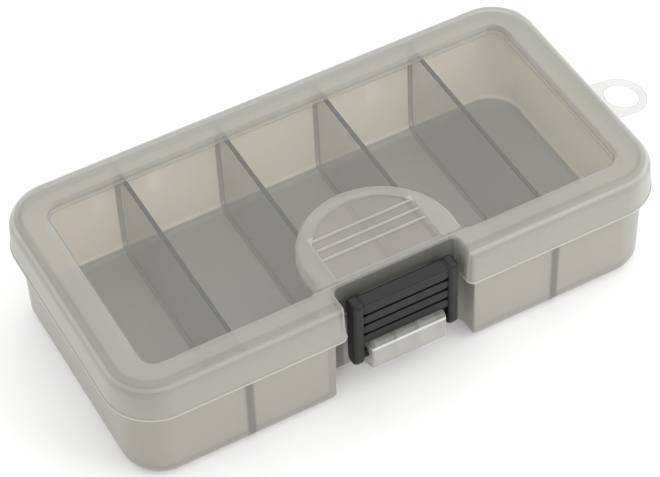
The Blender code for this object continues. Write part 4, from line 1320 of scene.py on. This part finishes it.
# The camera's place is in metres, its angles are about +Z, about its own X and about its own view line
CAMERA_PLACE = (-0.23905, -0.46456, 0.58926)
CAMERA_AZIMUTH = math.radians(-27.10)
CAMERA_TILT = math.radians(90 - 47.535)
CAMERA_ROLL = math.radians(-2.584)
CAMERA_LENS = 134.46
SENSOR_WIDTH = 36.0

# Floor and lamps, whose angles are their azimuth from the front and their elevation
FLOOR_HALF = 3.0
FLOOR_DROP = 0.05 * MM
LAMP_DISTANCE = 0.9
KEY_SIZE = 0.5
KEY_ANGLES = (math.radians(45), math.radians(45))
BACK_SIZE = 0.6
BACK_ANGLES = (math.radians(160), math.radians(60))
CLEAR_LAYERS = 32


def add_lamp(name, power, size, angles):
    """A square area lamp that looks at the middle of the box."""
    data = bpy.data.lights.new(name, "AREA")
    data.energy = power
    data.size = size
    lamp = add_object(name, data)
    azimuth, elevation = angles
    level = math.cos(elevation)
    away = Vector((math.sin(azimuth) * level, -math.cos(azimuth) * level, math.sin(elevation)))
    lamp.location = away * LAMP_DISTANCE
    lamp.rotation_euler = away.to_track_quat("Z", "Y").to_euler()


def add_floor(colour):
    bm = bmesh.new()
    bmesh.ops.create_grid(bm, x_segments=1, y_segments=1, size=FLOOR_HALF)
    floor = add_object("studio_floor", mesh_of(bm, "studio_floor"))
    floor.location.z = -FLOOR_DROP
    material, shader, wire = new_material("studio_floor")
    wire.fill(shader, {"Base Color": (*colour, 1), "Roughness": 0.9, "Specular IOR Level": 0.0})
    floor.data.materials.append(material)


def add_world(level):
    """A white world that lights the box with its level, and looks plain white where it is seen."""
    world = bpy.data.worlds.new("studio")
    world.use_nodes = True
    wire = Wiring(world.node_tree)
    path = wire.node("ShaderNodeLightPath").outputs
    seen = wire.number("MAXIMUM", path["Is Camera Ray"], path["Is Glossy Ray"])
    seen = wire.number("MAXIMUM", seen, path["Is Transmission Ray"])
    strength = wire.mix(seen, level, 1.0)
    wire.fill(world.node_tree.nodes["Background"], {"Color": (1, 1, 1, 1), "Strength": strength})
    return world


def add_camera():
    data = bpy.data.cameras.new("photo_camera")
    data.lens = CAMERA_LENS
    data.sensor_width = SENSOR_WIDTH
    data.sensor_fit = "HORIZONTAL"
    camera = add_object("photo_camera", data)
    turn = Matrix.Rotation(CAMERA_AZIMUTH, 4, "Z") @ Matrix.Rotation(CAMERA_TILT, 4, "X")
    camera.matrix_world = Matrix.Translation(CAMERA_PLACE) @ turn @ Matrix.Rotation(CAMERA_ROLL, 4, "Z")
    return camera


# Operators

class BOX_OT_tray(bpy.types.Operator):
    """Make the tray with its boss, hinge ears and hang tab"""

    bl_idname = "storage_box.tray"
    bl_label = "Tray"

    def execute(self, context):
        shape, finish = context.scene.box_shape, context.scene.box_finish
        add_piece("tray_moulding", tray_mesh(shape), "tray", "tray_plastic", tray_plastic(finish), "tray")
        return {"FINISHED"}


class BOX_OT_partitions(bpy.types.Operator):
    """Finish the partitions in the tray"""

    bl_idname = "storage_box.partitions"
    bl_label = "Partitions"

    def execute(self, context):
        paint_nodes("partition", partition_plastic(context.scene.box_finish))
        return {"FINISHED"}


class BOX_OT_lid(bpy.types.Operator):
    """Make the lid with its window, thumb pad, ledge and hinge arms"""

    bl_idname = "storage_box.lid"
    bl_label = "Lid"

    def execute(self, context):
        shape, finish = context.scene.box_shape, context.scene.box_finish
        material = lid_plastic(finish)
        add_piece("lid_moulding", lid_mesh(shape, material), "lid", "lid_plastic", material, "lid")
        return {"FINISHED"}


class BOX_OT_latch(bpy.types.Operator):
    """Make the black latch with its rails, grooved panel and stubs"""

    bl_idname = "storage_box.latch"
    bl_label = "Latch"

    def execute(self, context):
        material = latch_plastic(context.scene.box_finish)
        mesh = latch_mesh(context.scene.box_shape, material)
        add_piece("latch_moulding", mesh, "latch", "latch_plastic", material, "latch")
        return {"FINISHED"}


class BOX_OT_pins(bpy.types.Operator):
    """Finish the steel hinge pins"""

    bl_idname = "storage_box.pins"
    bl_label = "Hinge pins"

    def execute(self, context):
        paint_nodes("hinge_pin", pin_steel(context.scene.box_finish))
        return {"FINISHED"}


class BOX_OT_studio(bpy.types.Operator):
    """Set up the floor, the light and the camera"""

    bl_idname = "storage_box.studio"
    bl_label = "Studio"

    def execute(self, context):
        scene, light = context.scene, context.scene.box_light
        scene.view_settings.view_transform = "Standard"
        scene.cycles.transparent_max_bounces = CLEAR_LAYERS
        add_floor(light.floor_colour)
        scene.world = add_world(light.world_level)
        add_lamp("key_lamp", light.key_power, KEY_SIZE, KEY_ANGLES)
        add_lamp("back_lamp", light.back_power, BACK_SIZE, BACK_ANGLES)
        scene.camera = add_camera()
        return {"FINISHED"}


class BOX_PT_storage_box(bpy.types.Panel):
    """The storage box's pieces, sizes, colours and light"""

    bl_idname = "BOX_PT_storage_box"
    bl_label = "Storage box"
    bl_space_type = "VIEW_3D"
    bl_region_type = "UI"
    bl_category = "Storage box"

    def draw(self, context):
        for step in STEPS:
            self.layout.operator(step)
        for group in (context.scene.box_shape, context.scene.box_finish, context.scene.box_light):
            column = self.layout.column()
            for name in group.__annotations__:
                column.prop(group, name)


STEPS = (
    "storage_box.studio", "storage_box.tray", "storage_box.partitions", "storage_box.lid",
    "storage_box.latch", "storage_box.pins",
)
CLASSES = (
    BoxShape, BoxFinish, StudioLight, BOX_OT_tray, BOX_OT_partitions, BOX_OT_lid, BOX_OT_latch, BOX_OT_pins,
    BOX_OT_studio, BOX_PT_storage_box,
)


def register():
    for cls in CLASSES:
        bpy.utils.register_class(cls)
    bpy.types.Scene.box_shape = PointerProperty(type=BoxShape)
    bpy.types.Scene.box_finish = PointerProperty(type=BoxFinish)
    bpy.types.Scene.box_light = PointerProperty(type=StudioLight)


def unregister():
    del bpy.types.Scene.box_light
    del bpy.types.Scene.box_finish
    del bpy.types.Scene.box_shape
    for cls in reversed(CLASSES):
        bpy.utils.unregister_class(cls)


def corners(box):
    return [[float(value) for value in corner] for corner in box]


def main():
    """Makes every piece in order."""
    register()
    bpy.ops.storage_box.studio()
    bpy.ops.storage_box.tray()
    bpy.ops.storage_box.partitions()
    bpy.ops.storage_box.lid()
    bpy.ops.storage_box.latch()
    bpy.ops.storage_box.pins()


if __name__ == "__main__":
    main()
